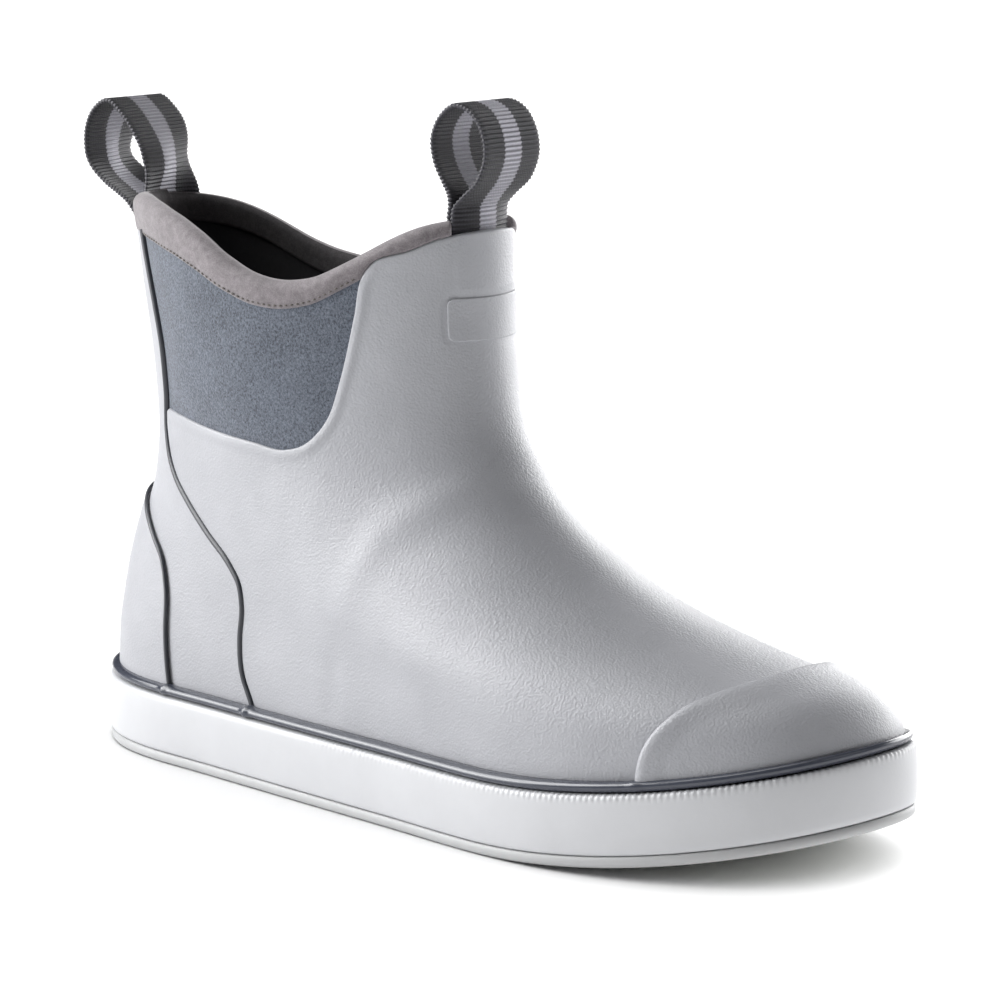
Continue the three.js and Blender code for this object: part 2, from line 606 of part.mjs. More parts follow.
const stitchInner = BINDING_PROUD + CLEARANCE;
const stitchSection = [
  [stitchInner, 0], [stitchInner + STITCH_SIZE, 0],
  [stitchInner + STITCH_SIZE, STITCH_SIZE], [stitchInner, STITCH_SIZE],
];
const stitching = ring(stitchSection, (angle) => rimHeight(angle) - depthAt(angle) + STITCH_EDGE)
  .intersect(box(STITCH_BACK * LENGTH_SCALE, goreFront - 1, -REACH, REACH, 0, FAR));
addPiece("binding_stitching_lateral", outerSide(stitching), 0x77726f, 0.9);
addPiece("binding_stitching_medial", innerSide(stitching), 0x77726f, 0.9);

// Stiff inserts between the rubber and the lining, one round the heel and one over the toes.
const stiffenerOutline = fitted([[-180, 26], [-88, 26], [-92, 50], [-106, 70], [-180, 82]]);
const puffOutline = fitted([[108, 27], [116, 48], [125, 70], [180, 70], [180, 27]]);
const insertInner = LINING_OUTER - STIFFENER_THICKNESS;
const insert = (outline) => formBody(LINING_OUTER, OUTSOLE_HEIGHT, OVERLAY_TOP)
  .subtract(formBody(insertInner, OUTSOLE_HEIGHT - 2, OVERLAY_TOP + 2))
  .intersect(sideBlock(outline));
const grown = (outline) => sideBlock(ribbon([...outline, outline[0]], CLEARANCE)).add(sideBlock(outline));
const insertPockets = [stiffenerOutline, puffOutline].map((outline) =>
  layer(insertInner - CLEARANCE, 3).intersect(grown(outline)));
const liningInside = formBody(LINING_INNER, LINING_FLOOR_TOP, FORM_TOP + SHAFT_LIFT + 2);
const lining = formBody(LINING_OUTER, LINING_FLOOR_BOTTOM, FORM_TOP + SHAFT_LIFT)
  .subtract(liningInside)
  .intersect(underBinding(CLEARANCE))
  .subtract(frontTail.pocket)
  .subtract(backTail.pocket)
  .subtract(insertPockets[0])
  .subtract(insertPockets[1]);
addPiece("lining", lining, 0x17161a, 0.98);
addPiece("heel_stiffener", insert(stiffenerOutline), 0x6d6a66, 0.8);
addPiece("toe_puff", insert(puffOutline), 0x6d6a66, 0.8);

export default boot;
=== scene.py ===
"""Finished look of a right-foot rubber deck boot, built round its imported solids.

The toe points along +X, the inner side faces +Y and the heel stands on z = 0. Sizes held by the
classes are millimetres, as a pattern cutter would write them, and meshes are made in metres.
Every layer of the upper is named by its distance from one foot-shaped form: zero is the outer
face of the rubber and negative is further inside.
"""

from __future__ import annotations

import json
import logging
import math
from collections.abc import Callable, Sequence
from dataclasses import dataclass, field
from enum import Enum

import bpy
import numpy as np
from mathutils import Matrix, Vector
from numpy.typing import NDArray

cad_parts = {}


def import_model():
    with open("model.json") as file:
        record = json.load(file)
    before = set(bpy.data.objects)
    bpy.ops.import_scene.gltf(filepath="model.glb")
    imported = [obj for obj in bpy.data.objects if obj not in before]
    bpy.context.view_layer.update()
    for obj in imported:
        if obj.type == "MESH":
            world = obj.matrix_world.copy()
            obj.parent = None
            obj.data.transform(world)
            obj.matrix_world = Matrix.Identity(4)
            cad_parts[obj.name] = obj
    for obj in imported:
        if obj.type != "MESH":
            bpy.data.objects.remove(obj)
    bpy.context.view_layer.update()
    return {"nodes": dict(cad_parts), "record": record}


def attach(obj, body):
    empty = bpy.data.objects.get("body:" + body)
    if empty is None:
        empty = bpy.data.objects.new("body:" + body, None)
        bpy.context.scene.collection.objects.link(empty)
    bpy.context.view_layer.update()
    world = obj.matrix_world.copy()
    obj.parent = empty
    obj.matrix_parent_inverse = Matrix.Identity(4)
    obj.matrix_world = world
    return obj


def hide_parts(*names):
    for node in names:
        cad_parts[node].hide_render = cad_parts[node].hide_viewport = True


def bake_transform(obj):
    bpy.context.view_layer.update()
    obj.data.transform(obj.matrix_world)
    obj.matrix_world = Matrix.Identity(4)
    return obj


Array = NDArray[np.float64]
Points = Sequence[tuple[float, float]]
Field = Callable[[Array], Array]
Relief = Callable[[Array, Array], Array]

MM = 0.001
HALF_TURN = math.pi
FULL_TURN = 2 * math.pi

log = logging.getLogger("deck_boot")


# ------------------------------------------------------------------------------------- curves
def hermite(points: Points, at: Array) -> Array:
    """Reads a smooth curve that never swings past its points.

    Args:
        points: (position, value) pairs in order of position.
        at: Positions to read it at.

    Returns:
        The values there.
    """
    table = np.asarray(points, float)
    slope = np.diff(table[:, 1]) / np.diff(table[:, 0])
    before, after = np.r_[slope[:1], slope], np.r_[slope, slope[-1:]]
    total = np.where(before + after == 0, 1, before + after)
    tangent = np.where(before * after > 0, 2 * before * after / total, 0)
    i = np.clip(np.searchsorted(table[:, 0], at) - 1, 0, len(table) - 2)
    span = table[i + 1, 0] - table[i, 0]
    t = np.clip((at - table[i, 0]) / span, 0, 1)
    rest = 1 - t
    start = table[i, 1] * (1 + 2 * t) * rest**2 + tangent[i] * span * t * rest**2
    return start + table[i + 1, 1] * t**2 * (3 - 2 * t) - tangent[i + 1] * span * t**2 * rest


def smoothstep(value: Array, low: float, high: float) -> Array:
    """Rises from 0 at low to 1 at high with no corner."""
    t = np.clip((value - low) / (high - low), 0, 1)
    return t * t * (3 - 2 * t)


def unit(vectors: Array) -> Array:
    """Scales each vector to length 1."""
    return vectors / np.maximum(np.linalg.norm(vectors, axis=-1, keepdims=True), 1e-12)


class SoftLine:
    """A smooth curve through points, eased a little more so that gloss flows over it."""

    STEP = 0.5

    def __init__(self, points: Points, ease: float = 3.0) -> None:
        """Samples and eases the curve.

        Args:
            points: (position, value) pairs in order.
            ease: Width of the easing, in millimetres.
        """
        first, last = points[0][0], points[-1][0]
        self.at = np.arange(first, last + self.STEP, self.STEP)
        values = hermite(points, self.at)
        reach = int(3 * ease / self.STEP)
        kernel = np.exp(-0.5 * (np.arange(-reach, reach + 1) * self.STEP / ease) ** 2)
        padded = np.pad(values, reach, mode="reflect", reflect_type="odd")
        self.values = np.convolve(padded, kernel / kernel.sum(), mode="valid")

    def __call__(self, at: Array) -> Array:
        """Reads the curve."""
        return np.interp(at, self.at, self.values)


class EdgeLine:
    """A line drawn on the side view, which panels are cut along."""

    PITCH = 0.8
    OVERRUN = 60.0

    def __init__(self, points: Points) -> None:
        """Draws a smooth line through [x, height] points and carries it on past both ends."""
        p = np.asarray(points, float)
        t = np.r_[0, np.cumsum(np.linalg.norm(np.diff(p, axis=0), axis=1))]
        slope = np.diff(p, axis=0) / np.diff(t)[:, None]
        width = np.diff(t)[:, None]
        inner = (slope[:-1] * width[1:] + slope[1:] * width[:-1]) / (width[:-1] + width[1:])
        tangent = np.vstack([slope[:1], inner, slope[-1:]])
        s = np.linspace(0, t[-1], int(t[-1] / self.PITCH) + 2)
        i = np.clip(np.searchsorted(t, s, side="right") - 1, 0, len(t) - 2)
        u = ((s - t[i]) / width[i, 0])[:, None]
        v, w = 1 - u, width[i]
        line = p[i] * (1 + 2 * u) * v**2 + tangent[i] * w * u * v**2
        self.samples = line + p[i + 1] * u**2 * (3 - 2 * u) - tangent[i + 1] * w * u**2 * v
        ends = [p[0] - unit(slope[0]) * self.OVERRUN, p[-1] + unit(slope[-1]) * self.OVERRUN]
        self.carried = np.vstack([ends[:1], self.samples, ends[1:]])

    def left_of(self, points: Array) -> Array:
        """Measures how far points lie to the left of the line, seen from the outer side.

        Args:
            points: Points of the flat-soled boot, (n, 3).

        Returns:
            Distances on the side view, negative to the right of the line.
        """
        start, step = self.carried[:-1], np.diff(self.carried, axis=0)
        length2 = (step**2).sum(1)
        found = []
        for part in np.array_split(points[:, [0, 2]], max(1, len(points) // 8000)):
            offset = part[:, None] - start
            share = np.clip((offset * step).sum(2) / length2, 0, 1)
            gap = np.linalg.norm(offset - share[..., None] * step, axis=2)
            nearest = gap.argmin(1)
            rows = np.arange(len(part))
            away = offset[rows, nearest]
            turn = step[nearest, 0] * away[:, 1] - step[nearest, 1] * away[:, 0]
            found.append(np.where(turn >= 0, 1, -1) * gap[rows, nearest])
        return np.concatenate(found)


# --------------------------------------------------------------------------------------- form
HEEL_LINE: Points = (
    (0, -151), (15, -151), (37, -150), (52, -146.7), (63, -144.3), (75, -141.3), (90, -137),
    (107, -136.3), (130, -138.5), (158, -143.5), (195, -149),
)
INSTEP_LINE: Points = (
    (0, 148.5), (15, 148.5), (26, 147.5), (34, 143.5), (42, 133.5), (49, 116), (56.5, 96.5),
    (66.5, 73.5), (77, 54.5), (89.5, 35.5), (107, 18), (130, 9), (158, 6.3), (195, 6),
)
HALF_WIDTHS: tuple[tuple[float, tuple[float, ...]], ...] = (
    (15, (72, 62, 44, 43, 57, 67, 77)),
    (37, (72, 61, 44, 43, 57, 67, 76)),
    (52, (70, 58, 43, 42, 55, 64, 66)),
    (63, (65, 54, 42, 41, 50, 56, 55)),
    (75, (56, 49, 40.5, 40, 45, 48, 46)),
    (90, (45, 43, 39.5, 39.5, 41, 42, 41)),
    (107, (38, 39, 39.5, 40.5, 39.5, 39, 39)),
    (130, (36, 38, 41, 42.5, 40.5, 39.5, 39.5)),
    (158, (36, 38.5, 42, 43.5, 42, 41, 41)),
    (195, (36, 39, 43.5, 45.5, 43.5, 42.5, 42.5)),
)
OUTER_RIM: Points = (
    (-152, 180.5), (-140, 182), (-125, 183.5), (-112, 182.5), (-98, 180), (-85, 176),
    (-71, 169.5), (-59, 165), (-48, 163.4), (-38, 164.6), (-28, 169), (-19, 174), (-11, 178.8),
    (-3, 182.5), (9, 185),
)
INNER_RIM: Points = (
    (-152, 180.5), (-142, 179.5), (-133, 177.5), (-125, 174.3), (-116, 169.5), (-106, 164.5),
    (-96, 161.5), (-80, 159.5), (-62, 160.5), (-48, 164), (-34, 170), (-19, 176.5), (-5, 182),
    (9, 185),
)
BINDING_DEPTHS: Points = (
    (-152, 10), (-115, 12.5), (-90, 12), (-66, 10), (-46, 8.5), (-19, 7.5), (9, 8),
)


@dataclass
class FootForm:
    """The foot-shaped form that the whole upper is laid over."""

    length: float = 299.5
    toe_lift: float = 14.5
    lift_start: float = 40.0
    heel: SoftLine = field(default_factory=lambda: SoftLine(HEEL_LINE))
    instep: SoftLine = field(default_factory=lambda: SoftLine(INSTEP_LINE))
    outer_rim: SoftLine = field(default_factory=lambda: SoftLine(OUTER_RIM, 2.0))
    inner_rim: SoftLine = field(default_factory=lambda: SoftLine(INNER_RIM, 2.0))
    binding_depth: SoftLine = field(default_factory=lambda: SoftLine(BINDING_DEPTHS, 2.0))

    def __post_init__(self) -> None:
        """Makes one soft line for each of the width columns."""
        self.widths = [
            SoftLine([(height, row[k]) for height, row in HALF_WIDTHS]) for k in range(7)
        ]
        self.middle = (HEEL_LINE[0][1] + INSTEP_LINE[0][1]) / 2

    def half_width(self, angle: Array, height: Array) -> Array:
        """Reads the half width at an angle round the form and a height."""
        folded = np.abs(np.arctan2(np.sin(angle), np.cos(angle)))
        place = np.minimum(folded / HALF_TURN * 6, 6 - 1e-6)
        i = np.floor(place).astype(int)
        t = place - i
        columns = np.stack([line(height) for line in self.widths], -1)

        def column(k: Array) -> Array:
            k = np.abs(k)
            k = np.where(k > 6, 12 - k, k)
            return np.take_along_axis(columns, k[..., None], -1)[..., 0]

        a, b, c, d = (column(i + step) for step in (-1, 0, 1, 2))
        bend = (2 * a - 5 * b + 4 * c - d) * t**2 + (3 * b - a - 3 * c + d) * t**3
        return 0.5 * (2 * b + (c - a) * t + bend)

    def middle_line(self, x: Array, height: Array) -> Array:
        """Reads how far the foot's middle line swings sideways, low down only."""
        along = np.clip((x - self.middle) / self.length + 0.5, 0, 1)
        fade = 1 - smoothstep(height, 60, 130)
        return (12 * along**3 - 4 * np.sin(HALF_TURN * along)) * fade

    def point(self, angle: Array, height: Array) -> Array:
        """Gives points on the form: angle 0 is the heel, a quarter turn the outer side."""
        angle, height = np.broadcast_arrays(np.asarray(angle, float), np.asarray(height, float))
        back, front = self.heel(height), self.instep(height)
        x = back + (front - back) * (1 - np.cos(angle)) / 2
        y = self.middle_line(x, height) - np.sin(angle) * self.half_width(angle, height)
        return np.stack([x, y, height], -1)

    def normal(self, angle: Array, height: Array) -> Array:
        """Gives the direction straight out of the form."""
        along = self.point(angle + 0.02, height) - self.point(angle - 0.02, height)
        up = self.point(angle, height + 1.5) - self.point(angle, height - 1.5)
        return unit(np.cross(along, up))

    def layer(self, angle: Array, height: Array, distance: Array | float) -> Array:
        """Gives points at a distance outside (or, negative, inside) the form."""
        distance = np.asarray(distance, float)
        return self.point(angle, height) + self.normal(angle, height) * distance[..., None]

    def lift(self, points: Array) -> Array:
        """Lifts points of the flat-soled boot towards the toe."""
        share = np.clip((points[..., 0] - self.lift_start) / (self.length / 2 - self.lift_start), 0, None)
        lifted = points.copy()
        lifted[..., 2] += self.toe_lift * share**2
        return lifted

    def angle_at(self, x: Array, height: Array) -> Array:
        """Finds the angle on the outer side where the form has an x at a height."""
        back, front = self.heel(height), self.instep(height)
        return np.arccos(np.clip(1 - 2 * (x - back) / (front - back), -1, 1))

    def even_angles(self, height: float, pitch: float) -> tuple[Array, Array]:
        """Spaces angles evenly round the outline at one height.

        Args:
            height: Height of the outline.
            pitch: Wanted distance between neighbours.

        Returns:
            The angles, first at the heel, and each one's distance round the outline, closed by
            a last entry one whole turn on.
        """
        dense = np.linspace(0, FULL_TURN, 2881)
        outline = self.point(dense, np.full_like(dense, height))
        run = np.r_[0, np.cumsum(np.linalg.norm(np.diff(outline, axis=0), axis=1))]
        even = np.linspace(0, run[-1], int(run[-1] / pitch) + 1)
        return np.interp(even, run, dense), even

    def rim_height(self, angle: Array) -> Array:
        """Reads the height of the collar's top edge at an angle."""
        outer = np.sin(angle) >= 0
        height = np.full_like(angle, 175.0)
        for _ in range(8):
            x = self.point(angle, height)[..., 0]
            height = np.where(outer, self.outer_rim(x), self.inner_rim(x))
        return height

    def depth_at(self, angle: Array) -> Array:
        """Reads how far the collar binding reaches down at an angle."""
        return self.binding_depth(self.point(angle, self.rim_height(angle))[..., 0])

    def above_binding(self, points: Array) -> Array:
        """Measures how far points lie above the lower edge of the binding."""
        x = points[:, 0]
        rim = np.where(points[:, 1] <= 0, self.outer_rim(x), self.inner_rim(x))
        return points[:, 2] - (rim - self.binding_depth(x))

    def outline_inset(self, points: Array, distance: float, height: float) -> Array:
        """Measures how far points of a level plate lie inside the outline at a distance.

        Args:
            points: Points of the flat-soled boot, (n, 3).
            distance: Layer whose outline bounds the plate.
            height: Height at which the outline is read.

        Returns:
            Distances, positive inside.
        """
        angles, _ = self.even_angles(height, 2.0)
        outline = self.layer(angles, np.full_like(angles, height), distance)[:, :2]
        start, step = outline[:-1], np.diff(outline, axis=0)
        length2 = (step**2).sum(1)
        found = []
        for part in np.array_split(points[:, :2], max(1, len(points) // 8000)):
            offset = part[:, None] - start
            share = np.clip((offset * step).sum(2) / length2, 0, 1)
            away = offset - share[..., None] * step
            gap = np.linalg.norm(away, axis=2)
            nearest = gap.argmin(1)
            rows = np.arange(len(part))
            turn = step[nearest, 0] * offset[rows, nearest, 1] - step[nearest, 1] * offset[rows, nearest, 0]
            found.append(np.where(turn >= 0, 1, -1) * gap[rows, nearest])
        return np.concatenate(found)


# ------------------------------------------------------------------------------------- finishes
Settings = dict[str | int, object]
Tree = bpy.types.NodeTree
Socket = bpy.types.NodeSocket
Links = dict[str | int, Socket]


def linear(code: str) -> tuple[float, float, float, float]:
    """Turns an sRGB hex colour into linear red, green, blue and a full alpha."""
    parts = [int(code[i : i + 2], 16) / 255 for i in (1, 3, 5)]
    red, green, blue = (p / 12.92 if p <= 0.04045 else ((p + 0.055) / 1.055) ** 2.4 for p in parts)
    return red, green, blue, 1.0


def add_node(
    tree: Tree,
    kind: str,
    settings: Settings | None = None,
    links: Links | None = None,
    stops: Sequence[tuple[float, str]] = (),
) -> bpy.types.Node:
    """Adds one node with its settings and links.

    Args:
        tree: Node tree of the material.
        kind: Blender's name for the node.
        settings: Values by property name, input name or input number.
        links: Sockets to join to inputs, by input name or number.
        stops: Places and hex colours of a colour ramp.

    Returns:
        The new node.
    """
    node = tree.nodes.new(kind)
    for name, value in (settings or {}).items():
        if isinstance(name, str) and name in node.bl_rna.properties:
            setattr(node, name, value)
        else:
            node.inputs[name].default_value = value
    for name, socket in (links or {}).items():
        tree.links.new(socket, node.inputs[name])
    for i, (place, colour) in enumerate(stops):
        elements = node.color_ramp.elements
        element = elements[i] if i < len(elements) else elements.new(place)
        element.position, element.color = place, linear(colour)
    return node


@dataclass(frozen=True)
class Finish:
    """What one kind of surface is made of, and the record's slot it belongs to."""

    name: str
    slot: str
    colour: str
    roughness: float
    ior: float = 1.5
    metallic: float = 0.0
    sheen: float = 0.0
    specular: float = 0.5

    def material(self) -> bpy.types.Material:
        """Gives the finish's material, made the first time it is asked for."""
        known = bpy.data.materials.get(self.name)
        if known is not None:
            return known
        material = bpy.data.materials.new(self.name)
        material.use_nodes = True
        tree = material.node_tree
        shader = tree.nodes["Principled BSDF"]
        shader.inputs["Base Color"].default_value = linear(self.colour)
        shader.inputs["Roughness"].default_value = self.roughness
        shader.inputs["Metallic"].default_value = self.metallic
        shader.inputs["IOR"].default_value = self.ior
        shader.inputs["Specular IOR Level"].default_value = self.specular
        shader.inputs["Sheen Weight"].default_value = self.sheen
        shader.inputs["Sheen Roughness"].default_value = 0.5
        self.shade(tree, shader)
        return material

    def shade(self, tree: Tree, shader: bpy.types.Node) -> None:
        """Adds the finish's own pattern. A plain finish has none."""

    def dress(self, piece: bpy.types.Object) -> bpy.types.Object:
        """Puts the finish on a piece as its only material."""
        piece.data.materials.clear()
        piece.data.materials.append(self.material())
        return piece


def noise(
    tree: Tree, place: Socket, scale: float, detail: float, roughness: float = 0.5,
    distortion: float = 0.0,
) -> Socket:
    """Adds a noise texture at a scale per metre and gives its value."""
    settings = {"Scale": scale, "Detail": detail, "Roughness": roughness, "Distortion": distortion}
    return add_node(tree, "ShaderNodeTexNoise", settings, {"Vector": place}).outputs["Fac"]


def scaled(tree: Tree, place: Socket, scale: tuple[float, float, float]) -> Socket:
    """Stretches coordinates by a factor on each axis."""
    return add_node(tree, "ShaderNodeMapping", {"Scale": scale}, {"Vector": place}).outputs["Vector"]


def weighted(tree: Tree, value: Socket, weight: float, other: Socket) -> Socket:
    """Adds a value times a weight to another value."""
    settings = {"operation": "MULTIPLY_ADD", 1: weight}
    return add_node(tree, "ShaderNodeMath", settings, {0: value, 2: other}).outputs[0]


def product(tree: Tree, value: Socket, other: Socket) -> Socket:
    """Multiplies two values."""
    settings = {"operation": "MULTIPLY"}
    return add_node(tree, "ShaderNodeMath", settings, {0: value, 1: other}).outputs[0]


def ranged(
    tree: Tree, value: Socket, low: float, high: float, to_low: float, to_high: float
) -> Socket:
    """Carries a value from one range to another and holds it inside."""
    settings = {1: low, 2: high, 3: to_low, 4: to_high}
    return add_node(tree, "ShaderNodeMapRange", settings, {0: value}).outputs[0]


def emboss(tree: Tree, shader: bpy.types.Node, height: Socket, strength: float, depth: float) -> None:
    """Joins a height to the shader's normal, at a depth in millimetres."""
    settings = {"Strength": strength, "Distance": depth * MM}
    bump = add_node(tree, "ShaderNodeBump", settings, {"Height": height})
    tree.links.new(bump.outputs["Normal"], shader.inputs["Normal"])


def tinted(tree: Tree, share: Socket, dark: str, light: str) -> Socket:
    """Runs between two colours by a share from 0 to 1.

    Args:
        tree: Node tree of the material.
        share: Socket that gives the share.
        dark: Hex colour at 0.
        light: Hex colour at 1.

    Returns:
        The colour socket.
    """
    return add_node(
        tree, "ShaderNodeMix", {"data_type": "RGBA", 6: linear(dark), 7: linear(light)}, {0: share}
    ).outputs[2]


# Compression-moulded natural rubber: a fine leather-like pebble from the etched mould, a soft
# satin sheen over it, and faint cloudiness from the filler.
@dataclass(frozen=True)
class PebbledRubber(Finish):
    """Grained upper rubber."""

    dark: str = "#9fa0a5"
    light: str = "#a8a9ae"
    grain: float = 0.75
    depth: float = 0.11

    def shade(self, tree: Tree, shader: bpy.types.Node) -> None:
        """Adds pebble, wrinkle and cloud patterns at their real sizes."""
        place = add_node(tree, "ShaderNodeTexCoord").outputs["Object"]
        cell = 1000 / self.grain
        pebble = add_node(
            tree, "ShaderNodeTexVoronoi",
            {"feature": "SMOOTH_F1", "Scale": cell, "Smoothness": 0.6}, {"Vector": place},
        ).outputs["Distance"]
        stretched = scaled(tree, place, (1.0, 1.0, 1.7))
        wrinkle = noise(tree, stretched, cell * 0.45, 3.0, roughness=0.6, distortion=0.6)
        cloud = noise(tree, place, 38.0, 3.0, roughness=0.55)
        height = weighted(tree, pebble, 0.9, wrinkle)
        emboss(tree, shader, height, 1.0, self.depth)
        share = ranged(tree, cloud, 0.3, 0.7, 0.0, 1.0)
        tree.links.new(tinted(tree, share, self.dark, self.light), shader.inputs["Base Color"])
        gloss = ranged(tree, wrinkle, 0.2, 0.9, self.roughness - 0.05, self.roughness + 0.08)
        tree.links.new(gloss, shader.inputs["Roughness"])


# Extruded and roller-pressed rubber foxing: smooth and satin, with a press-cloth trace so fine
# that it is drawn only as a slight unevenness, and dirt-free white rubber colour.
@dataclass(frozen=True)
class PressedRubber(Finish):
    """Smooth strip or sole rubber."""

    dark: str = "#dcdde0"
    light: str = "#eaebed"
    weave: float = 0.0

    def shade(self, tree: Tree, shader: bpy.types.Node) -> None:
        """Adds slight cloudiness, slight unevenness and, if it has one, the roller pattern."""
        coordinates = add_node(tree, "ShaderNodeTexCoord")
        place = coordinates.outputs["Object"]
        cloud = noise(tree, place, 55.0, 4.0, roughness=0.6)
        fine = noise(tree, place, 900.0, 2.0)
        tree.links.new(tinted(tree, cloud, self.dark, self.light), shader.inputs["Base Color"])
        height = fine
        if self.weave:
            height = self.diamonds(tree, coordinates.outputs["UV"], place, fine)
        emboss(tree, shader, height, 0.6, 0.05)

    def diamonds(
        self,
        tree: Tree,
        across: Socket,
        place: Socket,
        fine: Socket,
    ) -> Socket:
        """Draws the small pressed diamonds of the grip zone beside the ball of the foot.

        Args:
            tree: Node tree of the material.
            across: Coordinates along and up the band, in metres.
            place: Coordinates in the boot, in metres.
            fine: Height of the plain surface.

        Returns:
            The height socket.
        """
        slanted = []
        for turn in (0.7, -0.7):
            turned = add_node(
                tree, "ShaderNodeMapping", {"Rotation": (0.0, 0.0, turn)}, {"Vector": across}
            ).outputs["Vector"]
            slanted.append(
                add_node(
                    tree, "ShaderNodeTexWave",
                    {"Scale": 1000 / self.weave / FULL_TURN * 0.5, "Distortion": 0.0},
                    {"Vector": turned},
                ).outputs["Fac"]
            )
        crossing = product(tree, slanted[0], slanted[1])
        x = add_node(tree, "ShaderNodeSeparateXYZ", {}, {"Vector": place}).outputs["X"]
        begin = add_node(
            tree, "ShaderNodeMapRange", {"interpolation_type": "SMOOTHSTEP", 1: -0.045, 2: -0.02},
            {0: x},
        ).outputs[0]
        finish = add_node(
            tree, "ShaderNodeMapRange",
            {"interpolation_type": "SMOOTHSTEP", 1: 0.055, 2: 0.085, 3: 1.0, 4: 0.0}, {0: x},
        ).outputs[0]
        zone = product(tree, begin, finish)
        faded = product(tree, crossing, zone)
        return weighted(tree, faded, 0.8, fine)


# Circular-knit jersey laminated over stretch foam: heathered yarn, loops about 0.55 mm across, a
# slightly felted face with a soft sheen.
@dataclass(frozen=True)
class HeatheredKnit(Finish):
    """Stretch gore fabric."""

    dark: str = "#2d323b"
    light: str = "#6d7481"
    loop: float = 0.55

    def shade(self, tree: Tree, shader: bpy.types.Node) -> None:
        """Adds knit loops, mixed yarn colours and fibre fuzz."""
        place = add_node(tree, "ShaderNodeTexCoord").outputs["Object"]
        ribs = scaled(tree, place, (1.0, 1.0, 0.8))
        loops = add_node(
            tree, "ShaderNodeTexVoronoi",
            {"feature": "F1", "Scale": 1000 / self.loop, "Randomness": 0.75}, {"Vector": ribs},
        ).outputs["Distance"]
        yarn = noise(tree, ribs, 1700.0, 4.0, roughness=0.75)
        broad = noise(tree, place, 60.0, 2.0)
        mixed = weighted(tree, broad, 0.12, yarn)
        share = ranged(tree, mixed, 0.42, 0.7, 0.0, 1.0)
        tree.links.new(tinted(tree, share, self.dark, self.light), shader.inputs["Base Color"])
        height = weighted(tree, loops, -0.8, yarn)
        emboss(tree, shader, height, 0.9, 0.16)


# Brushed nylon-elastane tricot folded over the collar: short nap that catches light at grazing
# angles, with soft blotches where the nap lies in different directions.
@dataclass(frozen=True)
class BrushedTricot(Finish):
    """Collar binding fabric."""

    dark: str = "#625c5f"
    light: str = "#857f82"
    nap: float = 0.4

    def shade(self, tree: Tree, shader: bpy.types.Node) -> None:
        """Adds nap and blotches in colour and height."""
        place = add_node(tree, "ShaderNodeTexCoord").outputs["Object"]
        nap = noise(tree, place, 1000 / self.nap, 3.0, roughness=0.7)
        blotch = noise(tree, place, 420.0, 3.0, roughness=0.6)
        mixed = weighted(tree, nap, 1.4, blotch)
        share = ranged(tree, mixed, 0.9, 1.5, 0.0, 1.0)
        tree.links.new(tinted(tree, share, self.dark, self.light), shader.inputs["Base Color"])
        emboss(tree, shader, mixed, 0.8, 0.1)


# Grosgrain woven from filament polyester: thick crosswise ribs 1.4 mm apart, which are modelled,
# fine warp lines over them at 0.55 mm, and a paler warp in the middle third.
@dataclass(frozen=True)
class Grosgrain(Finish):
    """Pull-loop webbing with a pale middle stripe."""

    stripe: str = "#9b9aa3"
    frayed: str = "#35343b"
    warp: float = 0.55
    rib: float = 1.4

    def shade(self, tree: Tree, shader: bpy.types.Node) -> None:
        """Adds the stripe, the warp lines, uneven yarn tone and a painted highlight on each rib crest."""
        uv = add_node(tree, "ShaderNodeTexCoord").outputs["UV"]
        parts = add_node(tree, "ShaderNodeSeparateXYZ", {}, {"Vector": uv}).outputs
        ramp = add_node(
            tree, "ShaderNodeValToRGB", {}, {"Fac": parts["Y"]},
            stops=(
                (0.0, self.frayed), (0.008, self.colour), (0.345, self.colour),
                (0.365, self.stripe), (0.655, self.stripe), (0.675, self.colour),
                (0.992, self.colour), (1.0, self.frayed),
            ),
        ).outputs["Color"]
        warp = add_node(
            tree, "ShaderNodeTexWave",
            {"bands_direction": "Y", "Scale": 25.0 / self.warp / FULL_TURN, "Distortion": 1.5,
             "Detail": 2.0, "Detail Scale": 30.0},
            {"Vector": uv},
        ).outputs["Fac"]
        stretched = scaled(tree, uv, (1400.0, 60.0, 1.0))
        yarn = noise(tree, stretched, 1.0, 3.0, roughness=0.7)
        tone = ranged(tree, yarn, 0.25, 0.75, 0.72, 1.2)
        # Painted highlight: the colour is lightened along each rib's crest and darkened between ribs.
        crests = add_node(
            tree, "ShaderNodeTexWave",
            {"bands_direction": "X", "Scale": 1000 / self.rib * FULL_TURN / 20, "Distortion": 0.0,
             "Phase Offset": HALF_TURN / 2},
            {"Vector": uv},
        ).outputs["Fac"]
        crest_highlight = ranged(tree, crests, 0.0, 1.0, 0.6, 1.35)
        tone_and_highlight = product(tree, tone, crest_highlight)
        colour = add_node(
            tree, "ShaderNodeVectorMath", {"operation": "SCALE"}, {0: ramp, "Scale": tone_and_highlight}
        ).outputs[0]
        tree.links.new(colour, shader.inputs["Base Color"])
        height = weighted(tree, warp, 0.5, yarn)
        emboss(tree, shader, height, 0.8, 0.12)


# Polyester fleece pressed on foam: near black, with short clumped pile that takes no gloss.
@dataclass(frozen=True)
class ShortPile(Finish):
    """Fleece lining or fabric-topped footbed."""

    dark: str = "#0b0a0e"
    light: str = "#1d1b20"
    clump: float = 1.1

    def shade(self, tree: Tree, shader: bpy.types.Node) -> None:
        """Adds clumps of pile in colour and height."""
        place = add_node(tree, "ShaderNodeTexCoord").outputs["Object"]
        pile = noise(tree, place, 1000 / self.clump, 4.0, roughness=0.7)
        tree.links.new(tinted(tree, pile, self.dark, self.light), shader.inputs["Base Color"])
        emboss(tree, shader, pile, 0.8, 0.3)


